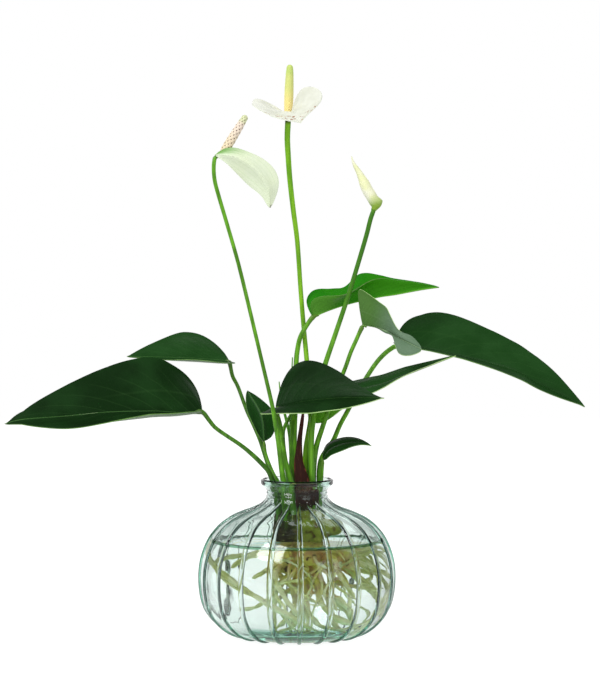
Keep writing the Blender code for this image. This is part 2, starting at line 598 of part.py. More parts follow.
def make_water(collection, cutters):
    data = bpy.data.meshes.new("water")
    profile = [(radius * MM, 0.0, height * MM) for radius, height in water_profile()]
    data.from_pydata(profile, [(i, i + 1) for i in range(len(profile) - 1)], [])
    obj = bpy.data.objects.new("water", data)
    collection.objects.link(obj)
    screw = obj.modifiers.new("turn", "SCREW")
    screw.steps = WATER_STEPS
    screw.render_steps = WATER_STEPS
    screw.use_merge_vertices = True
    screw.merge_threshold = 1e-5
    obj = as_mesh(obj, collection)
    water = combine(obj, cutters, "DIFFERENCE", "water")
    water.data.materials.clear()
    water.data.materials.append(material("water"))
    return water


# Roots and rootstock


def root_pieces(collection, fatter=0.0):
    centre, halves = ROOT_MASS
    pieces = [lump("root mass", collection, centre, halves, fatter)]
    for number, (radii, route) in enumerate(ROOTS, 1):
        name = f"root {number}"
        piece = tube(name, collection, route, radii, ROOT_STEP, ROOT_SIDES_RESOLUTION, fatter)
        pieces.append(as_mesh(piece, collection))
    return pieces


def make_roots(collection, name, fatter=0.0):
    pieces = root_pieces(collection, fatter)
    roots = combine(pieces[0], pieces[1:], "UNION", name)
    roots.data.materials.clear()
    roots.data.materials.append(material("root"))
    return roots


def crown_body(collection, name, fatter=0.0):
    pieces = [
        lump(f"lump {number}", collection, centre, halves, fatter)
        for number, (centre, halves) in enumerate(CROWN_LUMPS, 1)
    ]
    return combine(pieces[0], pieces[1:], "UNION", name)


def make_crown(collection, sockets, helpers):
    crown = crown_body(collection, "crown")
    centre, halves = ROOT_MASS
    seat = lump("seat on the roots", helpers, centre, halves, GAP)
    crown = combine(crown, [seat, *sockets], "DIFFERENCE", "crown")
    crown.data.materials.clear()
    crown.data.materials.append(material("crown"))
    return crown


# Leaves and spathes


def outline_width(share, swell, narrow):
    """The blade's half width along its length, as a share of the widest."""
    widest = swell / (swell + narrow)
    return (share / widest) ** swell * ((1.0 - share) / (1.0 - widest)) ** narrow


def outline_along(share, lobe):
    """How far along the midrib the edge lies: it first runs back past the stalk, by the lobe."""
    lobed = share / LOBE_REACH
    return share - lobe * lobed * math.exp(1.0 - lobed) * (1.0 - share)


def blade_place(blade, share, across):
    """A point of the blade's middle surface. Across runs from -1, the near edge, to 1, the far edge."""
    side = "far" if across > 0 else "near"
    swell, narrow, lobe = blade[side + "_edge"]
    wing = value_at([Vector(way) for way in blade[side]], share)
    out = abs(across)
    width = outline_width(share, swell, narrow)
    middle = share**MIDRIB_LEAD
    along = middle + (outline_along(share, lobe) - middle) * out**SIDE_CURVE
    place = route_at(blade["midrib"], along)
    direction = route_at(blade["midrib"], middle + 0.02) - route_at(blade["midrib"], middle - 0.02)
    face = direction.cross(wing).normalized() * (1 if across > 0 else -1)
    bulge = blade["arch"] * math.sin(math.pi * min(out * ARCH_SPREAD, 1.0)) * width
    wave = blade["wave"] * math.sin(2 * math.pi * (WAVE_COUNT * share + WAVE_START)) * out**3 * width
    return place + wing * (out * width) + face * (bulge + wave)


def make_blade(name, collection, blade, thickness, colour, rows):
    mesh = wrapped_grid(
        BLADE_COLUMNS, rows, lambda u, v: blade_place(blade, u**ROW_CROWDING, 2.0 * v - 1.0)
    )
    obj = finish_mesh(name, collection, mesh)
    shell = obj.modifiers.new("thickness", "SOLIDIFY")
    shell.thickness = thickness * MM
    shell.offset = 0.0
    obj.data.materials.append(material(colour))
    shade_round(obj)
    return obj


def stalk_route(blade):
    """The stalk's route, stopping just short of the blade that it carries."""
    base = Vector(blade["midrib"][0])
    last = Vector(blade["stalk"][-1])
    clear = blade.get("seat", GAP)
    stop = base + (last - base).normalized() * (LEAF_THICKNESS / 2 + clear)
    return [*blade["stalk"], tuple(stop)]


def make_leaves(collection):
    for name, blade in LEAVES.items():
        colour = LEAF_COLOURS.get(name, "dark_leaf")
        make_blade(name + "_blade", collection, blade, LEAF_THICKNESS, colour, BLADE_ROWS)
        stalk = tube(name + "_stalk", collection, stalk_route(blade), blade["stalk_radii"], STALK_STEP)
        stalk.data.materials.append(material("stalk"))


# Flowers, young leaves and bract


def spadix_place(radii, ends, share, turn):
    """A point of a spadix: a rod with rounded ends and a lattice of small swellings."""
    base, tip = Vector(ends[0]), Vector(ends[1])
    axis = (tip - base).normalized()
    side = axis.cross(Vector((0, 1, 0))).normalized()
    other = axis.cross(side)
    radius = value_at(radii, share)
    if share in (0.0, 1.0):
        radius = 0.0
    row = round(share * BUMP_ROWS)
    column = round(turn * BUMP_COLUMNS)
    radius *= 1.0 + (BUMP_HEIGHT if (row + column) % 2 else -BUMP_HEIGHT) * 0.5
    angle = 2 * math.pi * turn
    return base.lerp(tip, share) + (side * math.cos(angle) + other * math.sin(angle)) * radius


def make_spadices(collection):
    for name, (radii, ends) in SPADICES.items():
        mesh = wrapped_grid(
            BUMP_COLUMNS, BUMP_ROWS, lambda u, v, r=radii, e=ends: spadix_place(r, e, u, v % 1.0)
        )
        obj = finish_mesh(name, collection, mesh)
        colour = "brown_spadix" if name.startswith("flower_1") else "yellow_spadix"
        obj.data.materials.append(material(colour))
        shade_round(obj)


def rolled_place(share, turn):
    """A point of the closed spathe: rolled round itself, so that its radius steps at the free edge."""
    ahead = route_at(ROLLED_ROUTE, min(share + 0.02, 1.0)) - route_at(ROLLED_ROUTE, max(share - 0.02, 0.0))
    axis = ahead.normalized()
    side = axis.cross(Vector((0, 1, 0))).normalized()
    other = axis.cross(side)
    if turn < FREE_EDGE:
        grown = turn / FREE_EDGE
    else:
        grown = (1.0 - turn) / (1.0 - FREE_EDGE)
    radius = value_at(ROLLED_RADII, share) * (1.0 + ROLL_STEP * (grown - 0.5))
    if share in (0.0, 1.0):
        radius = 0.0
    angle = 2 * math.pi * (turn + ROLL_TWIST * share) + ROLL_START
    return route_at(ROLLED_ROUTE, share) + (side * math.cos(angle) + other * math.sin(angle)) * radius


def make_closed_spathe(collection):
    mesh = wrapped_grid(ROLLED_COLUMNS, ROLLED_ROWS, lambda u, v: rolled_place(u, v % 1.0))
    obj = finish_mesh("flower_3_spathe", collection, mesh)
    obj.data.materials.append(material("closed_spathe"))
    shade_round(obj)


def make_stems(collection):
    for name, (radii, route) in FLOWER_STEMS.items():
        stem = tube(name, collection, route, radii, STEM_STEP)
        stem.data.materials.append(material("stalk"))
    for name, (radii, route) in YOUNG_LEAVES.items():
        leaf = tube(name, collection, route, radii, STALK_STEP, resolution=1)
        leaf.data.materials.append(material("young_leaf"))


def make_bract(collection, name, fatter=0.0):
    """The bract is a tapering tube pressed flat from front to back."""
    obj = as_mesh(tube(name, collection, BRACT_ROUTE, BRACT_RADII, BRACT_STEP, 2, fatter), collection)
    for vert in obj.data.vertices:
        middle = bract_depth(vert.co.z / MM) * MM
        vert.co.y = middle + (vert.co.y - middle) * BRACT_FLATNESS
    obj.data.materials.append(material("bract"))
    return obj


def bract_depth(height):
    """Where the bract's middle lies from front to back at a height."""
    low, high = BRACT_ROUTE[0], BRACT_ROUTE[-1]
    for low, high in zip(BRACT_ROUTE, BRACT_ROUTE[1:]):
        if height <= high[2]:
            break
    share = min(max((height - low[2]) / (high[2] - low[2]), 0.0), 1.0)
    return low[1] + (high[1] - low[1]) * share


def socket_cutters(helpers):
    """Fattened feet of every stalk and stem, which cut plain holes in the rootstock."""
    feet = [(blade["stalk"][:2], blade["stalk_radii"][0]) for blade in LEAVES.values()]
    feet += [(route[:2], radii[0]) for radii, route in FLOWER_STEMS.values()]
    feet += [(route[:2], radii[0]) for radii, route in YOUNG_LEAVES.values()]
    cutters = []
    for number, (ends, radius) in enumerate(feet, 1):
        cutter = tube(f"socket {number}", helpers, ends, (radius, radius), SOCKET_STEP, 2, 1.5 * GAP)
        cutters.append(as_mesh(cutter, helpers))
    cutters.append(make_bract(helpers, "bract socket", GAP / BRACT_FLATNESS))
    return cutters


def main():
    clear_scene()
    parts = new_collection("anthurium in vase")
    helpers = new_collection("cutters")
    make_vase(parts)
    make_roots(parts, "roots")
    make_crown(parts, socket_cutters(helpers), helpers)
    hollow_roots = make_roots(helpers, "room for the roots", 1.2 * GAP)
    hollow_crown = crown_body(helpers, "room for the crown", 1.2 * GAP)
    make_water(parts, [hollow_roots, hollow_crown])
    make_leaves(parts)
    make_stems(parts)
    make_bract(parts, "bract")
    for name, blade in SPATHES.items():
        make_blade(name, parts, blade, SPATHE_THICKNESS, "spathe", SPATHE_ROWS)
    make_closed_spathe(parts)
    make_spadices(parts)
    bpy.data.collections.remove(helpers)


if __name__ == "__main__":
    main()
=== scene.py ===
"""An anthurium growing in water in a ribbed glass vase: the fine surfaces, their finishes and a pale studio.

Sizes in the tables are in millimetres and become metres where a mesh is made. The origin is the middle of the
vase's foot, +Z is up, and -Y is the side that the plant shows: left and right are as seen from there.
"""

import math
import random

import bpy
from bpy.props import FloatProperty, FloatVectorProperty, IntProperty, PointerProperty
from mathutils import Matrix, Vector, noise


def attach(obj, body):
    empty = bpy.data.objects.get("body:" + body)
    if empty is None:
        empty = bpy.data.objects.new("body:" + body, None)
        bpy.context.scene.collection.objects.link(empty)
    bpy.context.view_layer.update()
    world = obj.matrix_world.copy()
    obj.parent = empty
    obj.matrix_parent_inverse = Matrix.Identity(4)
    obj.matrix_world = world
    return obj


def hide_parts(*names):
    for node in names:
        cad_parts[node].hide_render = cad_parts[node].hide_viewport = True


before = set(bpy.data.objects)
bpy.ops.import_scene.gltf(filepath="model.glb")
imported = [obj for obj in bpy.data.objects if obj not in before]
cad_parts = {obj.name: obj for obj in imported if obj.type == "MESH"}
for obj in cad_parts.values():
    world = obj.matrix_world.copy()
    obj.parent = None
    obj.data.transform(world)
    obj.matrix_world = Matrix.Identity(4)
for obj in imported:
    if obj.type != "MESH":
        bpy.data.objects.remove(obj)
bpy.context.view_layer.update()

bl_info = {
    "name": "Anthurium in a Vase",
    "version": (1, 0, 0),
    "blender": (4, 5, 0),
    "location": "View3D > Sidebar > Anthurium",
    "description": "Builds a flowering anthurium with bare roots in a ribbed glass vase of water",
    "category": "Add Mesh",
}

MM = 0.001
BODY = "root"

# Vase
VASE_HEIGHT = 116.0
FOOT_RADIUS = 36.0
FOOT_DISC = 30.0
FOOT_DISC_TOP = (14.5, 12.5)
WIDEST_RADIUS = 71.3
FLOOR_HEIGHT = 9.6
RIB_COUNT = 20
FRONT_RIB_TURN = math.radians(2.1)
RIB_TOP = 99.0
RIB_FADE = 7.0
RIB_START = 5.0
RIB_KEEP = 0.6  # the share of a rib's size that doesn't shrink where the bulb narrows
OUTSIDE = (
    (22.0, 1.4), (30.0, 1.1), (33.5, 0.3), (FOOT_RADIUS, 0.0), (46.0, 2.0), (55.0, 6.5), (63.5, 14.5),
    (68.8, 24.0), (WIDEST_RADIUS, 38.0), (70.6, 54.0), (66.0, 68.5), (59.4, 78.5), (51.5, 85.5), (42.5, 90.0),
    (34.0, 93.2), (27.0, 97.0), (23.0, 102.0), (22.6, 108.0), (26.4, 112.0), (26.9, 115.0),
)
INSIDE = (
    (25.4, VASE_HEIGHT), (20.4, 109.5), (20.2, 102.5), (25.0, 95.6), (33.0, 90.9), (41.5, 87.7), (50.0, 83.2),
    (57.4, 76.9), (63.6, 67.4), (68.1, 53.6), (68.8, 38.4), (66.3, 25.0), (60.0, 16.2), (50.0, 11.4),
    (36.0, FLOOR_HEIGHT),
)
WALL_STEP = 2.4
NECK_STEP = 0.8
NECK_FOOT = 96.0
NECK_RIDGES = (101.0, 109.0)  # heights between which faint ridges run round the neck
RIDGE_PITCH = 2.7
RIDGE_HEIGHT = 0.4
RIDGE_FADE = 2.0
# Where the columns of one rib stand, as shares of its half width, and how many more lie between two ribs
RIB_COLUMNS = (-1.25, -1.0, -0.92, -0.72, -0.4, 0.0, 0.4, 0.72, 0.92, 1.0, 1.25)
PLAIN_COLUMNS = 3

# Water
WATER_OVERLAP = 0.35
WATER_COLUMNS = 160
MENISCUS_WIDTH = 4.0
MENISCUS_HEIGHT = 3.2
MENISCUS_SHARES = (0.0, 0.08, 0.2, 0.35, 0.55, 0.78, 1.0)
LEVEL_SLACK = 0.01

# Rootstock
CROWN_LUMPS = (
    ((2.0, 0.0, 84.5), (19.0, 14.0, 8.5)),
    ((-8.5, -1.0, 78.0), (9.2, 9.0, 13.2)),
    ((5.0, 1.0, 76.0), (10.0, 9.0, 11.0)),
    ((17.0, -1.0, 80.0), (9.3, 8.0, 7.5)),
    ((27.0, -3.0, 80.5), (5.8, 5.5, 5.0)),
    ((15.5, -4.0, 70.0), (3.6, 3.4, 7.5)),
)
CROWN_VOXEL = 0.6
CROWN_BARK = 0.9
KNOB_SEED = 3
KNOBS = 26
KNOB_SIZES = (1.3, 2.3)
KNOB_FLATNESS = 0.8
KNOB_WAYS = ((-1, 1), (-1, 1), (-0.8, 0.5))
KNOB_DEPTH = 0.86  # how far out of its lump a knob's middle lies
BARK_PITCH = 260.0
BARK_GRAIN = (0.9, 2.1, 4)
ROOT_MASS = ((4.0, 0.0, 59.0), (16.0, 10.5, 9.0))
ROOT_BARK = 0.45
ROOT_SEED = 11
# The mass is a cluster of swellings: where they gather, how far they spread, and their sizes
SWELLING_CENTRE = (8.5, -2.0, 53.0)
SWELLING_SPREAD = (8.8, 4.0, 3.6)
SWELLING_SIZES = (2.8, 6.2)
SWELLING_SHAPE = (1.3, 1.0, 0.9)
SWELLINGS = 34
# Roots: radius near the mass and at the tip, then the route
ROOTS = (
    ((1.9, 1.5), ((-4, 2, 58), (-22, 22, 60), (-46, 20, 57), (-53, -6, 53), (-34, -31, 40), (-8, -39, 25),
                  (15, -36, 13))),
    ((1.2, 0.9), ((-4, 2, 54), (-20, 14, 52), (-44, 8, 50), (-44, -18, 43), (-22, -31, 33), (2, -33, 21))),
    ((1.9, 1.3), ((-4, -3, 59), (-15, -9, 59), (-29, -12, 56), (-40, -13, 50))),
    ((1.5, 1.0), ((-4, -4, 54), (-17, -14, 49), (-27, -19, 45))),
    ((1.1, 0.8), ((0, -1, 52), (-10, -6, 38), (-22, -11, 28), (-35, -13, 25))),
    ((1.6, 1.2), ((4, -2, 52), (5, -10, 34), (-2, -17, 19), (-12, -22, 13))),
    ((1.7, 1.3), ((-5, -4, 53), (-13, -17, 46), (-8, -26, 35), (1, -29, 23))),
    ((1.8, 1.2), ((12, -2, 54), (24, -9, 51), (38, -9, 52), (50, -4, 47), (58, 6, 41))),
    ((1.6, 1.1), ((12, 1, 59), (26, 4, 61), (42, -2, 60), (54, -8, 56), (60, -8, 49))),
    ((1.5, 1.1), ((13, -3, 54), (24, -17, 48), (31, -23, 40), (37, -24, 32))),
    ((1.4, 1.0), ((12, -2, 52), (26, -8, 45), (31, -12, 34), (30, -12, 22))),
    ((1.6, 1.1), ((6, -4, 52), (12, -14, 42), (14, -19, 31), (22, -17, 22), (34, -10, 19))),
    ((1.6, 1.2), ((8, 4, 52), (14, 14, 36), (20, 4, 20), (30, -8, 12), (42, -10, 18), (52, -4, 30),
                  (58, 6, 44))),
    ((1.3, 1.0), ((10, -2, 52), (23, -3, 41), (36, -5, 38), (48, -3, 36))),
    ((1.4, 1.0), ((3, -4, 52), (6, -15, 28), (14, -22, 18), (26, -22, 15))),
    ((1.5, 1.1), ((8, 5, 56), (14, 22, 50), (28, 29, 40), (41, 22, 27), (45, 6, 18))),
    ((1.5, 1.0), ((0, 5, 55), (-6, 20, 48), (6, 33, 36), (22, 31, 24), (33, 18, 15))),
    ((1.2, 0.8), ((10, 0, 57), (27, 12, 52), (45, 14, 40), (53, -2, 27), (40, -18, 18), (22, -26, 14))),
)
ROOT_STEP = 1.6
ROOT_SIDES = 12
ROOT_SCALE = 1.12
ROOT_LUMPINESS = 0.3  # how far a root's radius wanders, as a share
ROOT_WANDER = (12.0, 1.5, 7.3)  # how fast it wanders along the root, round it and from root to root
ROOT_TIP = 14.0
# Side roots are drawn at random: how many, how thick, where in the mass they start and which way, how they
# swerve at each step, and how far they may go
SIDE_ROOTS = 60
SIDE_ROOT_RADII = (0.7, 1.45)
SIDE_ROOT_TIP = 0.6  # its radius at the tip, as a share of the one where it starts
SIDE_ROOT_STARTS = (-0.6, 0.8)
SIDE_ROOT_WAYS = ((-0.6, 1.4), (-1.0, 0.7), (-0.7, 0.1))
SIDE_ROOT_SWERVES = ((-1, 1), (-1, 1), (-0.8, 0.7))
SIDE_ROOT_TURN = 0.6
SIDE_ROOT_STEPS = (6, 13)
SIDE_ROOT_STEP = 6.5
SHORTEST_STEP = 1.0
SIDE_ROOT_FLOOR = 12.5
SIDE_ROOT_TOP = 62.0
SIDE_ROOT_LEFT = -12.0
WALL_CLEARANCE = 9.0

# Bract and rolled young leaves: radii, then the route
BRACT_RADII = (5.4, 6.2, 6.1, 4.8, 3.3, 2.2, 1.6, 1.3, 0.4)
BRACT_ROUTE = (
    (5.2, -9.5, 90.0), (5.2, -10.0, 104.0), (3.4, -12.0, 116.8), (1.2, -12.4, 128.5), (1.4, -12.6, 138.0),
    (2.1, -13.0, 147.5), (3.3, -13.0, 156.5), (4.4, -13.0, 165.0), (4.8, -13.0, 170.0),
)
BRACT_FLATNESS = 0.4
BRACT_RIDGES = (7, 0.06)  # how many, and how high as a share of the radius
BRACT_SIDES = 64
# The papery remains of older sheaths stand round the right side of the neck
SHEATH_RADIUS = 19.2
SHEATH_FOOT = 97.0
SHEATH_TOP = 112.0
SHEATH_TURNS = (math.radians(-92), math.radians(-38))
SHEATH_WALL = 0.5
SHEATH_RAGGED = 2.5  # how far its edge runs up and down, how often, and how much lower its corners are
SHEATH_JAGS = 9.0
SHEATH_CORNERS = 3.0
SHEATH_WAVE = 0.25  # how far it waves in and out, and how often round it and up it
SHEATH_WAVES = (14.0, 3.0)
SHEATH_GRID = (16, 48)
YOUNG_ROLL = 0.16  # the step of the roll, as a share of the radius, and how far it twists
YOUNG_TWIST = 0.4
YOUNG_SIDES = 28
YOUNG_LEAVES = {
    "young_leaf_1": ((1.5, 1.5, 1.2, 0.4), (
        (-3.2, 1.8, 84.5), (-3.6, 1.6, 104.0), (-3.9, 2.2, 118.5), (-4.4, 7.0, 133.0), (-5.6, 12.0, 148.0),
        (-8.4, 14.0, 160.0), (-11.9, 14.0, 175.7), (-13.3, 14.0, 186.9))),
    "young_leaf_2": ((1.4, 1.4, 1.1, 0.4), (
        (1.0, 4.8, 84.5), (0.8, 4.6, 104.0), (-1.6, 6.5, 118.0), (-3.8, 12.4, 132.7), (-4.4, 18.0, 148.0),
        (-4.7, 19.0, 162.0), (-4.1, 18.6, 184.5), (-3.4, 18.6, 204.9))),
}

# Leaf blades. The midrib runs from the stalk to the tip. A wing is the way from the midrib to the edge where
# the blade is widest, at even stations. The far wing is the upper or rear one. An edge's shape is how it
# swells from the stalk, how it narrows to the tip, and how far its lobe reaches back. Arch and wave say how
# much the wings bulge and how much their edges wave.
LOBE_REACH = 0.12
MIDRIB_LEAD = 1.4
SIDE_CURVE = 1.3
ARCH_SPREAD = 1.15
WAVE_COUNT = 1.6
WAVE_START = 0.15
LOOK_AHEAD = 0.02
AT_END = 1e-6
ROW_CROWDING = 1.3
MIDRIB_CROWDING = 1.5
VEIN_SLANT = 0.3  # how far a side vein leans to the tip on its way out, as a share of the length
BASAL_VEIN = 0.42  # where the long vein runs beside the midrib, as a share of the way out
GROOVE_WIDTH = 0.9
QUILT_WIDTH = 0.09  # the dents over the side veins: width as a share of their pitch, start and depth
QUILT_START = 4.0
QUILT_DEPTH = 0.35
BLADE_ROWS = 96
BLADE_COLUMNS = 48
LEAVES = {
    "leaf_1": {
        "midrib": ((-69.6, -8, 165.7), (-88.0, -12, 165.2), (-104.8, -18, 166.4), (-137.5, -27, 166.2),
                   (-164.3, -34, 164.0), (-196.4, -42, 161.9), (-209.2, -45, 158.9)),
        "far": ((-3, 33, 39.5), (-3, 33, 38.5), (-3, 33, 35.6), (-3, 33, 37.6), (-3, 33, 33)),
        "far_edge": (0.5, 1.15, 0.0),
        "near": ((0, -42, 5), (0, -40, 0.5), (0, -40, -6.2), (0, -38, -10.3), (0, -36, -12)),
        "near_edge": (0.6, 1.05, 0.03),
        "arch": 2.0, "wave": 0.6,
        "stalk_radii": (2.2, 1.9, 1.5, 1.7),
        "stalk": ((-13.0, -4.2, 84.5), (-15.5, -5.0, 104.0), (-19.8, -7.0, 120.0), (-25.7, -8.0, 127.5),
                  (-33.7, -8.5, 135.2), (-41.8, -9.0, 141.8), (-58.6, -9.0, 153.2), (-64.5, -8.5, 159.8)),
    },
    "leaf_2": {
        "midrib": ((-51.0, 30, 201.3), (-80.7, 39, 203.2), (-129.5, 55, 203.8)),
        "far": ((-7, 24, 20), (-3, 24, 17)), "far_edge": (0.6, 1.05, 0.0),
        "near": ((0, -28, 0), (0, -28, -1)), "near_edge": (0.6, 1.05, 0.16),
        "arch": 1.5, "wave": 0.6,
        "stalk_radii": (2.1, 1.8, 1.4, 1.5),
        "stalk": ((-12.6, 3.2, 84.5), (-14.5, 3.8, 104.0), (-16.3, 5.5, 112.5), (-18.5, 7.5, 118.3),
                  (-21.5, 10.0, 126.1), (-24.5, 12.5, 134.8), (-27.5, 15.0, 143.5), (-32.4, 18.0, 154.4),
                  (-37.4, 22.0, 164.6), (-44.2, 27.0, 182.3), (-48.4, 29.0, 190.5)),
    },
    "leaf_3": {
        "midrib": ((-24.5, 7.0, 143.2), (-26.8, 14.0, 162.1), (-37.4, 25.0, 179.4)),
        "far": ((9, 9, 3), (9, 9, 3)), "far_edge": (0.3, 0.8, 0.0),
        "near": ((-5, -7, -3), (-8, -7, -2), (-6, -8, -2)), "near_edge": (0.8, 0.8, 0.0),
        "arch": 1.0, "wave": 0.3,
        "stalk_radii": (1.5, 1.4, 1.1, 1.1),
        "stalk": ((-9.4, -1.2, 84.5), (-10.8, -1.5, 104.0), (-13.7, -0.5, 113.4), (-16.8, 1.5, 118.5),
                  (-20.2, 4.5, 125.8), (-23.4, 6.5, 134.8)),
    },
    "leaf_4": {
        "midrib": ((-15.4, -4, 167.6), (3.7, -14, 173.3), (31.1, -32, 177.2), (62.1, -50, 178.4)),
        "far": ((0, 18, 30), (0, 18, 27)), "far_edge": (0.62, 1.5, 0.0),
        "near": ((0, -22, 2), (0, -24, -2), (0, -26, -6.5), (0, -24, -7.8), (0, -24, -9.3), (0, -22, -9.5),
                 (0, -20, -9.5)),
        "near_edge": (0.6, 1.05, 0.26),
        "arch": 2.0, "wave": 0.4,
        "stalk_radii": (2.3, 2.1, 1.8, 1.6),
        "stalk": ((-2.2, -9.6, 84.5), (-3.2, -11.5, 104.0), (-5.0, -11.8, 116.8), (-7.4, -11.5, 124.8),
                  (-9.6, -11.0, 134.3), (-11.4, -8.0, 145.1), (-12.5, -6.0, 156.0)),
    },
    "leaf_5": {
        "midrib": ((11.8, 12, 234.9), (23.7, 14, 240.1), (37.9, 17, 244.5), (59.5, 21, 249.3),
                   (73.8, 24, 251.5), (91.9, 28, 254.9), (106.3, 30, 257.1)),
        "far": ((-9, 14, 15), (-9.3, 14, 16.5), (-7.1, 14, 12.8), (-9.9, 14, 11.6), (-13.1, 14, 20.4),
                (-13.9, 14, 21), (-14.5, 14, 18.4), (-13.9, 14, 17.5), (-12, 14, 17)),
        "far_edge": (0.3, 0.85, 0.03),
        "near": ((-6, -8, 17), (0, -10, 8), (0, -6, 16), (0, -4, 15), (0, -4, 12)),
        "near_edge": (0.3, 0.85, 0.0),
        "arch": 1.0, "wave": 0.3,
        "stalk_radii": (2.6, 2.7, 2.0, 1.6),
        "stalk": ((-2.8, -3.0, 84.5), (-4.0, -5.0, 104.0), (-3.7, -4.5, 119.1), (-3.0, -2.0, 133.6),
                  (-2.6, 1.0, 148.8), (-2.0, 4.4, 162.6), (-1.2, 9.0, 180.9), (-0.6, 13.4, 201.6),
                  (0.3, 13.2, 210.5), (2.2, 12.4, 219.4), (6.4, 12.0, 227.5)),
    },
    "leaf_6": {
        "midrib": ((48.5, 0, 228.6), (57.2, -4, 227.5), (65.1, -10, 225.1), (71.4, -16, 221.9),
                   (80.5, -24, 217.0), (89.8, -31, 212.5)),
        "far": ((-6, -8, 33), (-4.6, -5, 25.4), (-2.9, -5, 20.9), (-2.1, -3, 18.7), (-4.7, 0, 15.9),
                (-5.2, 4, 10.4), (-1.1, 8, 11.7), (1, 8, 10)),
        "far_edge": (0.14, 0.5, 0.0),
        "near": ((-3, 12, 10), (-6, 12, 7), (-1, 10, 4), (-0.9, 4, -0.4), (-2.6, 0, -0.7), (-5.6, -8, -9.9),
                 (-3.9, -10, -11.2), (0, -8, -8)),
        "near_edge": (0.4, 0.5, 0.0),
        "arch": 1.0, "wave": 0.0,
        "stalk_radii": (2.2, 2.0, 1.6, 1.5),
        "stalk": ((11.4, 4.4, 84.5), (12.2, 4.5, 104.0), (12.0, 2.4, 114.8), (12.2, 1.5, 122.2),
                  (12.9, 0.4, 131.2), (14.7, -1.8, 141.6), (18.0, -3.4, 152.0), (22.0, -4.0, 163.9),
                  (26.5, -2.0, 175.5), (31.6, 0.0, 188.0), (36.0, 0.0, 199.1), (39.3, 0.0, 208.6),
                  (43.0, 0.0, 217.0)),
    },
    "leaf_7": {
        "midrib": ((75.1, 34, 212.8), (94.8, 30, 210.7), (124.7, 24, 204.9), (160.5, 16, 195.5),
                   (179.5, 13, 185.2), (212.8, 6, 168.9)),
        "far": ((-1, 30, 25.5), (-1, 30, 27.6), (-1, 30, 29.9), (-1, 29, 29.5), (0, 29, 27.8), (0, 29, 29),
                (0, 28, 37), (0, 28, 46), (0, 28, 46)),
        "far_edge": (0.42, 1.0, 0.0),
        "near": ((0, -38, 9), (-1, -37, 1), (-1, -36, 0), (-1, -36, -0.8), (-2, -35, -2.7), (-2, -34, -5.5),
                 (-2, -34, -6.2), (-2, -33, -7.2), (-2, -32, -6)),
        "near_edge": (0.6, 1.05, 0.1),
        "arch": 1.2, "wave": 0.3,
        "stalk_radii": (2.0, 1.8, 1.7, 1.8),
        "stalk": ((16.0, 1.6, 84.5), (16.8, 0.5, 104.0), (16.2, 1.0, 116.4), (16.6, 2.5, 124.4),
                  (18.1, 4.0, 130.9), (22.2, 7.0, 137.3), (27.0, 10.0, 143.8), (31.9, 15.0, 154.6),
                  (37.2, 19.0, 164.0), (44.8, 24.0, 178.0), (52.0, 28.0, 189.5), (58.9, 31.0, 199.6),
                  (64.6, 32.4, 206.0), (70.3, 33.4, 210.6)),
    },
    "leaf_8": {
        "midrib": ((8.1, 15, 169.5), (31.8, 8, 178.1), (53.0, 1, 183.6), (63.9, -2, 186.3),
                   (79.9, -7, 193.1), (115.3, -18, 207.6)),
        "far": ((0, 16, 6.5), (0, 16, 6.5)), "far_edge": (0.6, 1.05, 0.06),
        "near": ((0, -7, -14), (0, -10, -16.5), (0, -13, -9.5), (0, -14, -5), (0, -14, -2), (0, -14, 0),
                 (0, -14, 0), (0, -14, 0)),
        "near_edge": (0.25, 1.05, 0.04),
        "arch": 1.0, "wave": 0.4,
        "stalk_radii": (1.8, 1.7, 1.4, 1.3),
        "stalk": ((-4.8, 6.2, 84.5), (-6.0, 5.5, 104.0), (-6.3, 5.3, 113.0), (-7.4, 5.0, 121.9),
                  (-8.8, 4.6, 130.9), (-10.0, 5.0, 140.5), (-10.2, 6.0, 150.2), (-7.8, 9.0, 156.7),
                  (-3.7, 12.0, 162.8), (2.2, 14.0, 167.2)),
    },
    "leaf_9": {
        "midrib": ((19.1, -8, 131.1), (24.2, -10, 138.6), (35.0, -15, 143.4), (45.8, -23, 144.7),
                   (54.0, -30, 142.8)),
        "far": ((-2, 11, 4), (0, 11, 3)), "far_edge": (0.6, 1.05, 0.0),
        "near": ((2, -10, -4), (0, -10, -3)), "near_edge": (0.6, 1.05, 0.0),
        "arch": 1.0, "wave": 0.3,
        "stalk_radii": (1.3, 1.2, 1.0, 1.0),
        "stalk": ((15.6, -4.0, 84.5), (16.5, -5.0, 104.0), (18.2, -6.0, 115.5), (18.6, -7.0, 121.5)),
    },
}
# Painted light: leaves 2, 3, 4, 7, 8 and 9 are the dark leaf in painted lighter tones, where they catch more
# light, with a painted highlight along the edge of leaf 4 and a painted backlight near the stalk of leaf 8
LEAF_KINDS = {
    "leaf_1": "dark", "leaf_2": "fresh", "leaf_3": "fresh", "leaf_4": "edged", "leaf_5": "bright",
    "leaf_6": "pale", "leaf_7": "fresh", "leaf_8": "two_tone", "leaf_9": "fresh",
}
LEAF_SLOTS = {"bright": "bright_leaf", "pale": "pale_leaf"}  # the other kinds are dark leaves to the frame

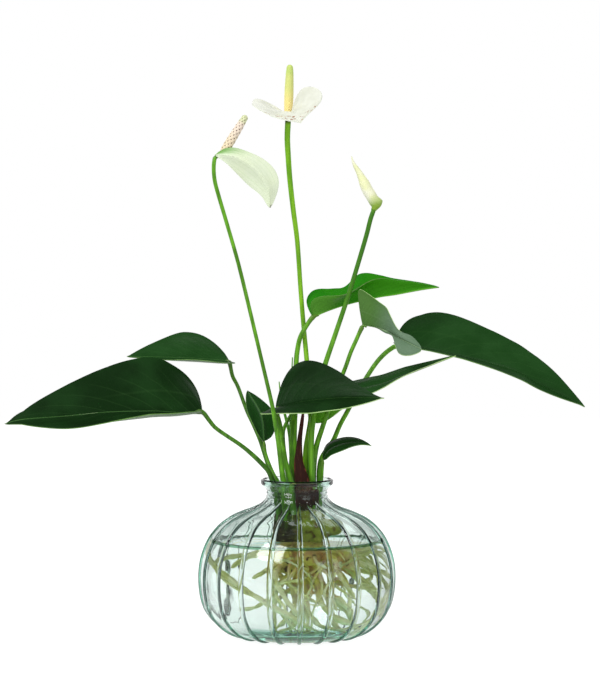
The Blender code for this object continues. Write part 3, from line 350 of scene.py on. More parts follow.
# Flower stems: radii, then the route up from the rootstock
FLOWER_STEMS = {
    "flower_1_stem": ((2.6, 1.8, 1.4, 1.4, 1.4, 1.5), (
        (-7.8, -8.4, 84.5), (-9.0, -12.0, 104.0), (-10.2, -15.0, 117.0), (-11.3, -17.5, 125.3),
        (-12.2, -19.0, 133.4), (-13.8, -21.5, 146.1), (-15.8, -25.0, 158.7), (-18.0, -28.0, 171.9),
        (-25.2, -31.0, 203.2), (-34.0, -34.0, 240.7), (-42.4, -36.0, 275.2), (-51.0, -38.0, 305.3),
        (-55.9, -38.5, 321.9), (-58.7, -38.5, 332.4), (-59.6, -38.0, 340.3), (-59.4, -37.5, 346.6),
        (-58.4, -37.0, 350.4))),
    "flower_2_stem": ((2.6, 2.2, 1.8, 1.7, 1.9, 2.2), (
        (6.0, 1.0, 84.5), (5.5, -1.0, 104.0), (6.3, 0.0, 115.0), (6.3, 0.7, 127.5), (7.0, 1.8, 139.2),
        (8.8, 3.2, 150.2), (10.3, 4.6, 162.0), (9.2, 9.0, 180.9), (7.2, 13.8, 203.0), (4.8, 18.0, 228.9),
        (2.6, 18.5, 256.0), (0.2, 18.0, 290.6), (-2.8, 18.0, 314.2), (-5.3, 17.0, 336.5),
        (-6.4, 16.0, 351.4), (-7.2, 15.0, 366.2), (-6.8, 14.0, 377.6))),
    "flower_3_stem": ((2.4, 2.3, 1.9, 1.7, 1.7), (
        (11.6, -1.6, 84.5), (11.5, -2.5, 104.0), (10.9, -4.2, 115.4), (10.5, -4.8, 127.9),
        (10.2, -5.2, 139.7), (10.6, -4.4, 150.7), (12.2, -2.4, 162.3), (15.1, 2.0, 179.8),
        (20.6, 4.0, 199.7), (29.8, 2.5, 227.0), (39.0, 1.0, 255.0), (49.9, -3.0, 291.6),
        (53.7, -5.0, 306.5), (55.8, -5.0, 312.6))),
}
# Where each stem goes on to under its flower
STEM_REACH = {
    "flower_1_stem": (-55.0, -36.2, 351.4),
    "flower_2_stem": (-6.6, 13.9, 381.6),
    "flower_3_stem": (56.2, -5.0, 315.0),
}
STEM_STEP = 2.5
STEM_SIDES = 20
STEM_RIPPLE = 0.012  # as a share of the radius, and how often it runs round a stem and along it
RIPPLE_TURNS = (3, 0.3)
FEWEST_ROWS = 6
DULL_STALKS = ("leaf_1", "leaf_2")
STALK_REACH = 0.05  # how far a stalk goes on along the midrib, as a share of it, and how far under it
STALK_DROP = 0.6
STALK_TAPER = 4.0
STALK_END = 0.35
JOINT_LENGTH = 9.0  # the swollen, darker top of a leaf stalk
JOINT_SWELL = 0.18
JOINT_EDGE = 3.0
STEM_CAP = 4.5  # the darker top of a flower stem

# Spathes, in the same terms as a leaf
SPATHES = {
    "flower_1_spathe": {
        "midrib": ((-58.6, -39.8, 351.6), (-43.6, -40.5, 350.2), (-30.0, -40, 341.6), (-20.7, -38, 328.2),
                   (-19.1, -34, 314.2)),
        "far": ((0, 2, 16), (2.6, 5, 8.5), (5.9, 8, 7.5), (8.8, 8, 7.8), (11, 4, 8)),
        "far_edge": (0.9, 0.8, 0.0),
        "near": ((-6, 2, -5), (-6.5, 5, -9), (-6.6, 7, -9.7), (-6.6, 6, -6.1), (-5, 3, -7)),
        "near_edge": (0.9, 0.8, 0.0),
        "arch": -0.6, "wave": 0.6,
    },
    "flower_2_spathe": {
        "midrib": ((-6.0, 10.4, 379.6), (-3.0, -6.0, 385.0), (2.6, -30, 375.6)),
        "far": ((5.8, -8, 17.3), (8.3, -1, 20.4), (18.7, 1, 16.9), (22.2, -1, 13), (11, -8, 11)),
        "far_edge": (0.5, 0.7, 0.1),
        "near": ((-3, -2, 14), (-24, 3, 13.2), (-30.5, 1, 6.7), (-32, -4, 3.9), (-31, -12, 2)),
        "near_edge": (0.6, 0.7, 0.1),
        "arch": -1.5, "wave": 0.8,
    },
}
SPATHE_GROOVE = (0.35, 1.2)  # depth and width
ROLLED_RADII = (1.6, 3.6, 4.2, 4.2, 3.9, 2.7, 1.8, 1.0, 0.3)
ROLLED_ROUTE = (
    (55.9, -5.0, 313.0), (57.0, -5.0, 316.8), (54.8, -5.2, 322.4), (51.6, -5.6, 327.5), (49.4, -6.0, 332.1),
    (45.8, -6.6, 340.0), (42.1, -7.2, 346.3), (40.6, -7.6, 349.9), (39.8, -8.0, 352.8),
)
ROLL_STEP = 0.22
FREE_EDGE = 0.95
ROLL_START = -1.2
ROLL_TWIST = 0.25
# The free edge flares to the right, just above the stem
FLARE = 3.2
FLARE_PLACE = 0.13
FLARE_LENGTH = 0.08
ROLLED_ROWS = 60
ROLLED_COLUMNS = 48

# Spadices: radii, then the base and the tip, and how many florets stand round and along
SPADICES = {
    "flower_1_spadix": (
        (2.2, 3.1, 3.3, 3.2, 3.0, 2.6, 2.1), (-54.4, -36.1, 350.9), (-36.4, -31.5, 380.6), 6, 9),
    "flower_2_spadix": (
        (2.6, 3.1, 3.3, 3.3, 3.1, 2.8, 2.1), (-6.6, 14.0, 381.0), (-5.2, 10.0, 421.1), 9, 20),
}
SPADIX_ROWS = 150
SPADIX_COLUMNS = 96
FLORET_HEIGHT = 0.15  # as a share of the radius
FLORET_MIDDLE = 0.7
GAP_WIDTH = 0.12
GAP_EDGE = 2.5

# Camera and light
CAMERA_PLACE = (0.0022, -1.6, 0.2606)
CAMERA_PITCH = math.radians(1.781)
CAMERA_LENS = 111.9
SENSOR_WIDTH = 36.0
NEAREST = 0.01
FLOOR_RADIUS = 2.6
FLOOR_SIDES = 128
# Each light's place and size, and whether gloss shows it
LIGHTS = {
    "key": ((-0.9, -1.1, 1.5), 1.0, True),
    "fill": ((1.4, -1.6, 0.7), 1.2, False),
    "rim": ((0.4, 1.0, 1.6), 1.0, False),
}
LIT_PLACE = (0.0, 0.0, 0.2)
WHITE = (1.0, 1.0, 1.0, 1.0)
# What gloss and glass see of the studio: how far round, from the side to straight behind, the bright wall
# comes up, between which heights it fades, and how bright the room is elsewhere
WALL_SPREAD = (0.4, 0.95)
WALL_TOP = (0.6, 0.25)
ROOM_LIGHT = 0.1
SOFT_LIGHT = 0.7  # what falls on matt surfaces from all round
GATHERED_LIGHT = 1.6  # what the floor under the vase adds to that, where the water gathers light
# Where the floor's brightness changes, as distances from the vase: for gloss, matt surfaces and the camera
CLOSE_REACH = (0.3, 0.15)
GATHERED_REACH = (0.12, 0.04)
WHITE_REACH = (0.1, 0.5)
FLOOR_GLOSS = 0.9
FLOOR_WHITE = 0.93


def srgb(red, green, blue):
    """A colour given as the screen shows it, 0 to 255, in Blender's linear values with full alpha."""
    linear = []
    for channel in (red, green, blue):
        shown = channel / 255.0
        linear.append(shown / 12.92 if shown <= 0.04045 else ((shown + 0.055) / 1.055) ** 2.4)
    return (*linear, 1.0)


def clamp(value, low=0.0, high=1.0):
    return min(max(value, low), high)


# Curves and outlines


def between(values, index, t):
    """A value or place between two of a list, on the smooth curve through them all."""
    p1, p2 = values[index], values[index + 1]
    p0 = values[index - 1] if index > 0 else p1 * 2 - p2
    p3 = values[index + 2] if index + 2 < len(values) else p2 * 2 - p1
    return 0.5 * (
        p1 * 2
        + (p2 - p0) * t
        + (p0 * 2 - p1 * 5 + p2 * 4 - p3) * t**2
        + (p1 * 3 - p0 - p2 * 3 + p3) * t**3
    )


def route_at(points, share):
    """A place on the smooth curve through the points. A share under 0 runs straight back past the start."""
    points = [Vector(p) for p in points]
    lengths = [(b - a).length for a, b in zip(points, points[1:])]
    if share <= 0.0:
        start = (points[1] - points[0]).normalized()
        return points[0] + start * share * sum(lengths)
    left = min(share, 1.0) * sum(lengths)
    index = 0
    while index < len(lengths) - 1 and left > lengths[index]:
        left -= lengths[index]
        index += 1
    return between(points, index, min(left / lengths[index], 1.0))


def route_length(points):
    return sum((Vector(b) - Vector(a)).length for a, b in zip(points, points[1:]))


def value_at(values, share):
    """A value read along a list of evenly spaced ones, on a smooth curve."""
    place = clamp(share) * (len(values) - 1)
    index = min(int(place), len(values) - 2)
    return between(values, index, place - index)


def outline_width(share, swell, narrow):
    """A blade's half width along its length, as a share of the widest."""
    widest = swell / (swell + narrow)
    return (share / widest) ** swell * ((1.0 - share) / (1.0 - widest)) ** narrow


def outline_along(share, lobe):
    """How far along the midrib the edge lies: it first runs back past the stalk, by the lobe."""
    lobed = share / LOBE_REACH
    return share - lobe * lobed * math.exp(1.0 - lobed) * (1.0 - share)


# Making meshes


def deselect():
    bpy.ops.object.select_all(action="DESELECT")


def shaped_grid(name, rows, columns, place):
    """A grid whose vertex at the shares u and v, 0 to 1, goes to place(u, v). Edges that meet are welded."""
    deselect()
    bpy.ops.mesh.primitive_grid_add(x_subdivisions=rows, y_subdivisions=columns, size=1.0, calc_uvs=True)
    obj = bpy.context.object
    obj.name = name
    obj.data.name = name
    for vert in obj.data.vertices:
        vert.co = place(vert.co.x + 0.5, vert.co.y + 0.5) * MM
    edit(obj, lambda: bpy.ops.mesh.remove_doubles(threshold=1e-6))
    return obj


def edit(obj, *steps):
    """Runs the steps on the whole object in edit mode."""
    deselect()
    bpy.context.view_layer.objects.active = obj
    obj.select_set(True)
    bpy.ops.object.mode_set(mode="EDIT")
    bpy.ops.mesh.select_all(action="SELECT")
    for step in steps:
        step()
    bpy.ops.object.mode_set(mode="OBJECT")


def face_outwards(obj):
    edit(obj, lambda: bpy.ops.mesh.normals_make_consistent(inside=False))


def apply_modifier(obj, name, kind, **settings):
    modifier = obj.modifiers.new(name, kind)
    for setting, value in settings.items():
        setattr(modifier, setting, value)
    bpy.context.view_layer.objects.active = obj
    bpy.ops.object.modifier_apply(modifier=modifier.name)


def join(objects, name):
    deselect()
    for obj in objects:
        obj.select_set(True)
    bpy.context.view_layer.objects.active = objects[0]
    bpy.ops.object.join()
    joined = bpy.context.object
    joined.name = name
    joined.data.name = name
    return joined


def ring_frames(points, count):
    """Even places along the smooth route, each with two directions square to it that don't twist."""
    places = [route_at(points, i / count) for i in range(count + 1)]
    side = Vector((1, 0, 0))
    frames = []
    for i, place in enumerate(places):
        ahead = (places[min(i + 1, count)] - places[max(i - 1, 0)]).normalized()
        side = (side - ahead * side.dot(ahead)).normalized()
        frames.append((place, side, ahead.cross(side)))
    return frames


def row_count(route, step):
    return max(FEWEST_ROWS, round(route_length(route) / step))


def swept(name, route, step, sides, radius_at):
    """A closed tube along a route. radius_at gives the radius at a share of the length and a turn."""
    rows = row_count(route, step)
    frames = ring_frames(route, rows)

    def place(u, v):
        ring = round(u * (rows + 2)) - 1
        centre, side, other = frames[min(max(ring, 0), rows)]
        if not 0 <= ring <= rows:
            return centre
        angle = 2 * math.pi * (v % 1.0)
        return centre + (side * math.cos(angle) + other * math.sin(angle)) * radius_at(ring / rows, v % 1.0)

    obj = shaped_grid(name, rows + 2, sides, place)
    face_outwards(obj)
    return obj


def blob(name, centre, halves, subdivisions=4):
    """An ellipsoid."""
    deselect()
    bpy.ops.mesh.primitive_ico_sphere_add(subdivisions=subdivisions, radius=1.0)
    obj = bpy.context.object
    obj.name = name
    for vert in obj.data.vertices:
        vert.co = (Vector(centre) + Vector(c * h for c, h in zip(vert.co, halves))) * MM
    return obj


def hand_over(obj, slot, materials, *nodes, smooth_to=60.0):
    """Gives a piece its finishes and its place in the frame."""
    deselect()
    obj.select_set(True)
    bpy.context.view_layer.objects.active = obj
    bpy.ops.object.shade_smooth_by_angle(angle=math.radians(smooth_to))
    for index, material in enumerate(materials):
        if index < len(obj.data.materials):
            obj.data.materials[index] = material
        else:
            obj.data.materials.append(material)
    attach(obj, BODY)
    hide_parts(*nodes)


def keep_numbers(obj, name, number_at):
    """Keeps a number on each vertex, for a finish to read."""
    attribute = obj.data.attributes.new(name, "FLOAT", "POINT")
    for vert, item in zip(obj.data.vertices, attribute.data):
        item.value = number_at(vert.co)


def rounded(place, millimetre, digits):
    """A place in millimetres, rounded so that a vertex can be looked up by it.

    The millimetre is given in the unit of the place.
    """
    return tuple(round(c / millimetre, digits) for c in place)


def roughen(obj, depth):
    """Lifts and sinks the surface by a fine bark."""
    vertices = obj.data.vertices
    lifts = [vert.normal * noise.fractal(vert.co * BARK_PITCH, *BARK_GRAIN) for vert in vertices]
    for vert, lift in zip(vertices, lifts):
        vert.co += lift * depth * MM


# Finishes


class Nodes:
    """A node tree, with short ways to add the nodes that work out its tones."""

    def __init__(self, tree):
        self.tree = tree

    def node(self, kind, inputs=(), **settings):
        made = self.tree.nodes.new(kind)
        for setting, value in settings.items():
            setattr(made, setting, value)
        for socket, value in dict(inputs).items():
            if isinstance(value, bpy.types.NodeSocket):
                self.tree.links.new(value, made.inputs[socket])
            else:
                made.inputs[socket].default_value = value
        return made

    def split(self, vector):
        return tuple(self.node("ShaderNodeSeparateXYZ", {0: vector}).outputs)

    def math(self, operation, *values):
        return self.node("ShaderNodeMath", dict(enumerate(values)), operation=operation).outputs[0]

    def times(self, first, second):
        return self.math("MULTIPLY", first, second)

    def ramp(self, value, start, end):
        """Runs smoothly from 0, where the value is start, to 1, where it is end."""
        inputs = {"Value": value, "From Min": start, "From Max": end}
        return self.node("ShaderNodeMapRange", inputs, interpolation_type="SMOOTHSTEP").outputs[0]

    def blend(self, first, second, share):
        """A number between two others."""
        return self.node("ShaderNodeMix", {0: share, 2: first, 3: second}, data_type="FLOAT").outputs[0]


class Finish(Nodes):
    """One material, with short ways to colour it."""

    def __init__(self, name, **values):
        self.material = bpy.data.materials.new(name)
        self.material.use_nodes = True
        super().__init__(self.material.node_tree)
        self.shader = self.tree.nodes["Principled BSDF"]
        for socket, value in values.items():
            self.shader.inputs[socket.replace("_", " ")].default_value = value

    def place(self):
        return self.node("ShaderNodeTexCoord").outputs["Object"]

    def attribute(self, name):
        return self.node("ShaderNodeAttribute", attribute_name=name).outputs["Fac"]

    def uv(self):
        """The two shares of a piece that was made from a grid: along it and across it."""
        return self.split(self.node("ShaderNodeUVMap").outputs[0])[:2]

    def noise(self, size, detail=2.0, stretch=(1.0, 1.0, 1.0)):
        """Soft mottling with patches of about the size given, in metres."""
        place = self.node("ShaderNodeMapping", {"Vector": self.place(), "Scale": stretch}).outputs[0]
        inputs = {"Vector": place, "Scale": 1.0 / size, "Detail": detail}
        return self.node("ShaderNodeTexNoise", inputs).outputs["Fac"]

    def mix(self, first, second, share):
        inputs = {0: share, 6: first, 7: second}
        return self.node("ShaderNodeMix", inputs, data_type="RGBA").outputs[2]

    def patches(self, first, second, size, detail, start, end):
        """Two tones in soft patches: start and end are the values of the noise between which they meet."""
        return self.mix(first, second, self.ramp(self.noise(size, detail), start, end))

    def paint(self, colour):
        self.tree.links.new(colour, self.shader.inputs["Base Color"])

    def bump(self, height, depth, strength=1.0):
        """Fine relief of a depth in metres."""
        made = self.node("ShaderNodeBump", {"Height": height, "Distance": depth, "Strength": strength})
        self.tree.links.new(made.outputs[0], self.shader.inputs["Normal"])

    def absorb(self, colour, density):
        """Deepens the colour with the way that light goes through."""
        made = self.node("ShaderNodeVolumeAbsorption", {"Color": colour, "Density": density})
        self.tree.links.new(made.outputs[0], self.tree.nodes["Material Output"].inputs["Volume"])


def glass_finish(look):
    clear = (0.985, 1.0, 0.993, 1.0)
    finish = Finish("vase_glass", Base_Color=clear, Roughness=0.0, IOR=1.5, Transmission_Weight=1.0)
    finish.absorb(look.glass_colour, look.glass_density)
    # The thick disc of glass that the bulb stands on takes a deeper tone: partly the thick glass's own tint,
    # partly painted reflection from inside the foot
    along, _, up = finish.split(finish.place())
    middle = finish.ramp(finish.math("ABSOLUTE", along), FOOT_RADIUS * MM, FOOT_DISC * MM)
    low = finish.ramp(up, *(height * MM for height in FOOT_DISC_TOP))
    finish.paint(finish.mix(clear, look.foot_tint_and_reflection, finish.times(low, middle)))
    finish.bump(finish.noise(0.016, 1.0), 0.001, 0.2)
    return finish.material


def water_finish(name, colour):
    return Finish(name, Base_Color=colour, Roughness=0.0, IOR=1.333, Transmission_Weight=1.0).material


def root_finish(look):
    """Root skin: brown and spotted near the mass, paler and greener away from it."""
    finish = Finish("root_skin", Roughness=0.6, Specular_IOR_Level=0.3)
    ends = {0: finish.place(), 1: Vector(SWELLING_CENTRE) * MM}
    gap = finish.node("ShaderNodeVectorMath", ends, operation="DISTANCE").outputs["Value"]
    near = finish.ramp(finish.math("ADD", gap, finish.times(finish.noise(0.02), 0.02)), 0.045, 0.024)
    pale = finish.patches(look.root_colour, look.root_shade, 0.012, 3.0, 0.42, 0.6)
    old = finish.patches(look.root_brown, look.root_yellow, 0.008, 3.0, 0.42, 0.58)
    spots = finish.ramp(finish.noise(0.005, 3.0), 0.6, 0.66)
    faint = finish.math("MULTIPLY_ADD", near, 0.7, 0.3)
    finish.paint(finish.mix(finish.mix(pale, old, near), look.root_spots, finish.times(spots, faint)))
    finish.bump(finish.noise(0.0012, 2.0), 0.0002)
    return finish.material


def crown_finish(look):
    finish = Finish("rootstock_bark", Roughness=0.85, Specular_IOR_Level=0.2)
    along = finish.split(finish.place())[0]
    right = finish.ramp(finish.math("ADD", along, finish.times(finish.noise(0.008), 0.01)), 0.001, 0.01)
    bark = finish.patches(look.crown_dark, look.crown_speck, 0.0022, 3.0, 0.6, 0.72)
    green = finish.patches(look.crown_green, look.crown_brown, 0.005, 3.0, 0.5, 0.66)
    finish.paint(finish.mix(bark, green, right))
    finish.bump(finish.noise(0.0016, 4.0), 0.0008)
    return finish.material


def bract_finish(look):
    finish = Finish("dry_bract", Roughness=0.7, Specular_IOR_Level=0.2)
    along = finish.uv()[0]
    fibres = finish.noise(0.0012, 2.0, (1.0, 1.0, 0.08))
    dry = finish.mix(look.bract, srgb(136, 76, 44), finish.ramp(fibres, 0.62, 0.78))
    finish.paint(finish.mix(dry, srgb(74, 28, 24), finish.ramp(along, 0.72, 0.95)))
    finish.bump(fibres, 0.0004)
    return finish.material


def leaf_finish(name, tones, strength, gloss, veins, root=None, root_end=(0.0, 0.0), edge=0.0):
    """Leaf skin: mottled green, a pale midrib, side veins and a grain of cells. The tones are two of the skin
    and one of the veins. Near the stalk it can take another tone, which fades between two shares of the
    length. Edge is the strength of a painted highlight, a pale line along the near edge."""
    colour, shade, vein = tones
    finish = Finish(name, Roughness=gloss, Specular_IOR_Level=0.15)
    along = finish.uv()[0]
    reach = finish.attribute("reach")
    out = finish.math("ABSOLUTE", reach)
    midrib = finish.ramp(finish.math("ABSOLUTE", finish.attribute("from_midrib")), 0.7, 0.2)
    slant = finish.math("SUBTRACT", along, finish.times(out, VEIN_SLANT))
    beat = finish.math("PINGPONG", finish.times(slant, veins), 0.5)
    side_vein = finish.times(finish.ramp(beat, 0.05, 0.01), finish.ramp(out, 0.95, 0.5))
    beside = finish.math("ABSOLUTE", finish.math("SUBTRACT", out, BASAL_VEIN))
    basal_vein = finish.times(finish.ramp(beside, 0.035, 0.008), finish.ramp(along, 0.8, 0.45))
    skin = finish.patches(colour, shade, 0.03, 3.0, 0.35, 0.65)
    if root:
        skin = finish.mix(skin, root, finish.ramp(along, root_end[1], root_end[0]))
    # Painted highlight: a pale line along the near edge of the blade, as strong as edge says
    edge_highlight_line = finish.ramp(reach, -0.97, -0.99)
    lines = ((side_vein, strength * 0.13), (basal_vein, strength * 0.08), (edge_highlight_line, edge), (midrib, strength))
    for line, depth in lines:
        skin = finish.mix(skin, vein, finish.times(line, depth))
    finish.paint(skin)
    finish.bump(finish.noise(0.0014, 2.0), 0.00012)
    return finish.material


def plain_finish(name, colour, shade, gloss):
    """Smooth plant skin in two close tones."""
    finish = Finish(name, Roughness=gloss)
    finish.paint(finish.patches(colour, shade, 0.01, 2.0, 0.35, 0.65))
    finish.bump(finish.noise(0.00125, 2.0), 0.0001)
    return finish.material


def stalk_finish(name, colour, shade, top, upper=None):
    """Stalk skin: fine streaks along it, another tone at its top, and one for the upper part."""
    finish = Finish(name, Roughness=0.4, Specular_IOR_Level=0.35)
    streaks = finish.noise(0.0022, 2.0, (1.0, 1.0, 0.06))
    skin = finish.mix(colour, shade, finish.ramp(streaks, 0.35, 0.7))
    skin = finish.mix(skin, shade, finish.ramp(finish.noise(0.02), 0.45, 0.7))
    if upper:
        height = finish.split(finish.place())[2]
        skin = finish.mix(skin, upper, finish.times(finish.ramp(height, 0.2, 0.27), 0.85))
    finish.paint(finish.mix(skin, top, finish.attribute("joint")))
    finish.bump(streaks, 0.00015)
    return finish.material


def spathe_finish(
    name, colour, shade, vein, green=0.0, base_end=0.3, ribs=0.0, line_depth=0.0, lean=None, tip=None
):
    """Waxy skin with veins from the base to the tip, green by a share up to base_end, a share of the length.
    The lean is where across the green comes up to the far edge. The tip is a tone, where along it starts, and
    whether it is spotted."""
    finish = Finish(name, Roughness=0.45, Specular_IOR_Level=0.35)
    along, across = finish.uv()
    base = finish.ramp(along, base_end, base_end * 0.2)
    if lean:
        foot = finish.ramp(along, 0.12, 0.02)
        base = finish.math("MAXIMUM", finish.times(base, finish.ramp(across, *lean)), foot)
    skin = finish.patches(colour, shade, 0.012, 2.0, 0.35, 0.7)
    skin = finish.mix(skin, vein, finish.times(base, green))
    if ribs:
        line = finish.ramp(finish.math("PINGPONG", finish.times(across, ribs), 0.5), 0.12, 0.02)
        depth = finish.math("MULTIPLY_ADD", base, 1.0 - line_depth, line_depth)
        skin = finish.mix(skin, vein, finish.times(line, depth))
        finish.bump(finish.noise(0.004, 2.0), 0.0002)
    if tip:
        tone, start, spotted = tip
        marks = finish.ramp(along, start, start + 0.03)
        if spotted:
            marks = finish.times(marks, finish.ramp(finish.noise(0.003), 0.58, 0.66))
        skin = finish.mix(skin, tone, marks)
    finish.paint(skin)
    return finish.material


def spadix_finish(name, low, high, tip, gap):
    """Florets that change tone from the base to the tip, with darker gaps between them."""
    finish = Finish(name, Roughness=0.55)
    along = finish.uv()[0]
    skin = finish.mix(low, high, finish.ramp(along, 0.15, 0.7))
    skin = finish.mix(skin, tip, finish.ramp(along, 0.76, 0.88))
    finish.paint(finish.mix(gap, skin, finish.attribute("floret")))
    finish.bump(finish.noise(0.0006, 2.0), 0.0001)
    return finish.material


# What a user would change


def colour_setting(name, description, default):
    return FloatVectorProperty(
        name=name, description=description, subtype="COLOR", size=4, default=default, min=0.0, max=1.0
    )


def length_setting(name, description, default):
    return FloatProperty(name=name, description=description, default=default, unit="LENGTH")


def light_setting(name, description, default):
    return FloatProperty(name=name, description=description, default=default, unit="POWER")


class VaseLook(bpy.types.PropertyGroup):
    rib_height: length_setting("Rib Height", "How far a rib stands out of the glass", 0.0015)
    rib_width: length_setting("Rib Width", "Width of a rib at the widest part of the bulb", 0.0042)
    glass_colour: colour_setting("Glass Colour", "Tone that thick glass takes", (0.3, 0.82, 0.64, 1.0))
    # Partly the deeper tint of thick glass, partly painted reflection inside the foot
    foot_tint_and_reflection: colour_setting("Foot Colour", "Tone of the glass disc in the foot", (0.4, 0.64, 0.56, 1.0))
    glass_density: FloatProperty(
        name="Glass Density", description="How fast the glass deepens in tone", default=38.0, min=0.0
    )
    # Painted light at the meniscus: the band where the water climbs the glass takes a painted tint and its
    # two edge lines a painted shade, in place of the light that the curved water bends and reflects there
    water_rim: colour_setting("Water Rim", "Tone where the water climbs the glass", (0.5, 0.68, 0.42, 1.0))
    water_line: colour_setting("Water Line", "Tone of the two lines along that rim", (0.08, 0.22, 0.12, 1.0))
    water_level: length_setting("Water Level", "Height of the water over the foot", 0.070)


class RootLook(bpy.types.PropertyGroup):
    root_colour: colour_setting("Root Colour", "Tone of a clean root", srgb(240, 244, 190))
    root_shade: colour_setting("Root Shade", "Darker tone of an older root", srgb(212, 218, 138))
    root_brown: colour_setting("Root Brown", "Brown skin of the swollen mass", srgb(204, 164, 98))
    root_yellow: colour_setting("Root Yellow", "Yellow-green skin of the swollen mass", srgb(220, 212, 98))
    root_spots: colour_setting("Root Spots", "Tone of the brown patches", srgb(92, 58, 30))
    crown_dark: colour_setting("Bark", "Dark side of the rootstock", srgb(50, 44, 22))
    crown_speck: colour_setting("Bark Specks", "Pale specks on the bark", srgb(138, 146, 78))
    crown_green: colour_setting("Green Rootstock", "Living side of the rootstock", srgb(142, 152, 58))
    crown_brown: colour_setting("Brown Rootstock", "Patches on the living side", srgb(112, 90, 40))


class LeafLook(bpy.types.PropertyGroup):
    thickness: length_setting("Thickness", "Thickness of a leaf blade", 0.0006)
    side_veins: IntProperty(name="Side Veins", description="Veins beside the midrib", default=9, min=1)
    relief: length_setting("Relief", "How deep the midrib lies in the blade", 0.0005)
    dark: colour_setting("Old Leaf", "Upper side of a grown leaf", srgb(9, 40, 6))
    fresh: colour_setting("Lit Leaf", "Upper side of the dark leaves that catch more light", srgb(20, 60, 16))
    bright: colour_setting("Young Leaf", "Upper side of a young leaf", srgb(26, 120, 0))
    pale: colour_setting("Pale Leaf", "Upper side of the leaf that shows its underside", srgb(78, 118, 58))
    stalk: colour_setting("Stalk", "Leaf stalks", srgb(100, 166, 28))


class FlowerLook(bpy.types.PropertyGroup):
    thickness: length_setting("Thickness", "Thickness of a spathe", 0.0006)
    spathe: colour_setting("Spathe", "Waxy white of the open spathe", srgb(219, 221, 210))
    turned: colour_setting("Older Spathe", "Greener white of the spathe that hangs", srgb(214, 224, 194))
    brown_spadix: colour_setting("Ripe Spadix", "Florets of the older flower", srgb(224, 208, 190))
    yellow_spadix: colour_setting(
        "Fresh Spadix", "Florets at the base of the fresh flower", srgb(250, 226, 150)
    )
    bract: colour_setting("Bract", "Dry brown bract", srgb(48, 20, 12))


class StageLook(bpy.types.PropertyGroup):
    floor: colour_setting("Floor", "Pale surface that the vase stands on", (0.2, 0.2, 0.2, 1.0))
    key: light_setting("Key Light", "Power of the soft light on the left", 24.0)
    fill: light_setting("Fill Light", "Power of the soft light on the right", 8.0)
    rim: light_setting("Rim Light", "Power of the soft light behind", 8.0)


# The vase and the water


def fine_profile(points):
    """The smooth line through a profile's points, closer at the neck."""
    vectors = [Vector((radius, 0.0, height)) for radius, height in points]
    fine = []
    for index, (start, end) in enumerate(zip(vectors, vectors[1:])):
        step = NECK_STEP if start.z > NECK_FOOT or end.z > NECK_FOOT else WALL_STEP
        count = max(1, math.ceil((end - start).length / step))
        fine.extend(between(vectors, index, i / count) for i in range(count))
    fine.append(vectors[-1])
    return [(point.x, point.z) for point in fine]


def lathe(name, profile, columns):
    """A round form: a ring is drawn out and sized again for each point of the profile. Its ends are shut."""
    deselect()
    radius, height = profile[0]
    bpy.ops.mesh.primitive_circle_add(
        vertices=columns, radius=radius * MM, location=(0, 0, height * MM), fill_type="NGON"
    )
    obj = bpy.context.object
    obj.name = name
    obj.data.name = name
    bpy.ops.object.transform_apply(location=True)

    def draw_out():
        for (_, low), (_, high) in zip(profile, profile[1:]):
            bpy.ops.mesh.extrude_region_move(TRANSFORM_OT_translate={"value": (0, 0, (high - low) * MM)})

    edit(obj, draw_out)
    # Every ring still has the first one's radius, so each goes to its own
    first = radius * MM
    for vert in obj.data.vertices:
        factor = profile[vert.index // columns][0] * MM / first
        vert.co.x *= factor
        vert.co.y *= factor
    return obj


def rib_share(radius):
    """How much of its size a rib keeps where the bulb narrows."""
    return RIB_KEEP + (1.0 - RIB_KEEP) * radius / WIDEST_RADIUS


def rib_half_angle(radius, look):
    """Half the turn that a rib takes up."""
    return look.rib_width / MM / 2 * rib_share(radius) / radius


def rib_lift(radius, height, across, look):
    """How far the glass stands out at a share of a rib's half width."""
    at_top = clamp((RIB_TOP - height) / RIB_FADE + 0.5)
    at_foot = clamp((radius - FOOT_RADIUS) / RIB_START) if height < RIB_START else 1.0
    bead = math.sqrt(max(1.0 - across * across, 0.0))
    return look.rib_height / MM * at_top * at_foot * bead * rib_share(radius)


def ridge_lift(height):
    """How far the faint ridges round the neck stand out."""
    low, high = NECK_RIDGES
    fade = clamp((height - low) / RIDGE_FADE) * clamp((high - height) / RIDGE_FADE)
    return RIDGE_HEIGHT * math.sin(2 * math.pi * height / RIDGE_PITCH) * fade


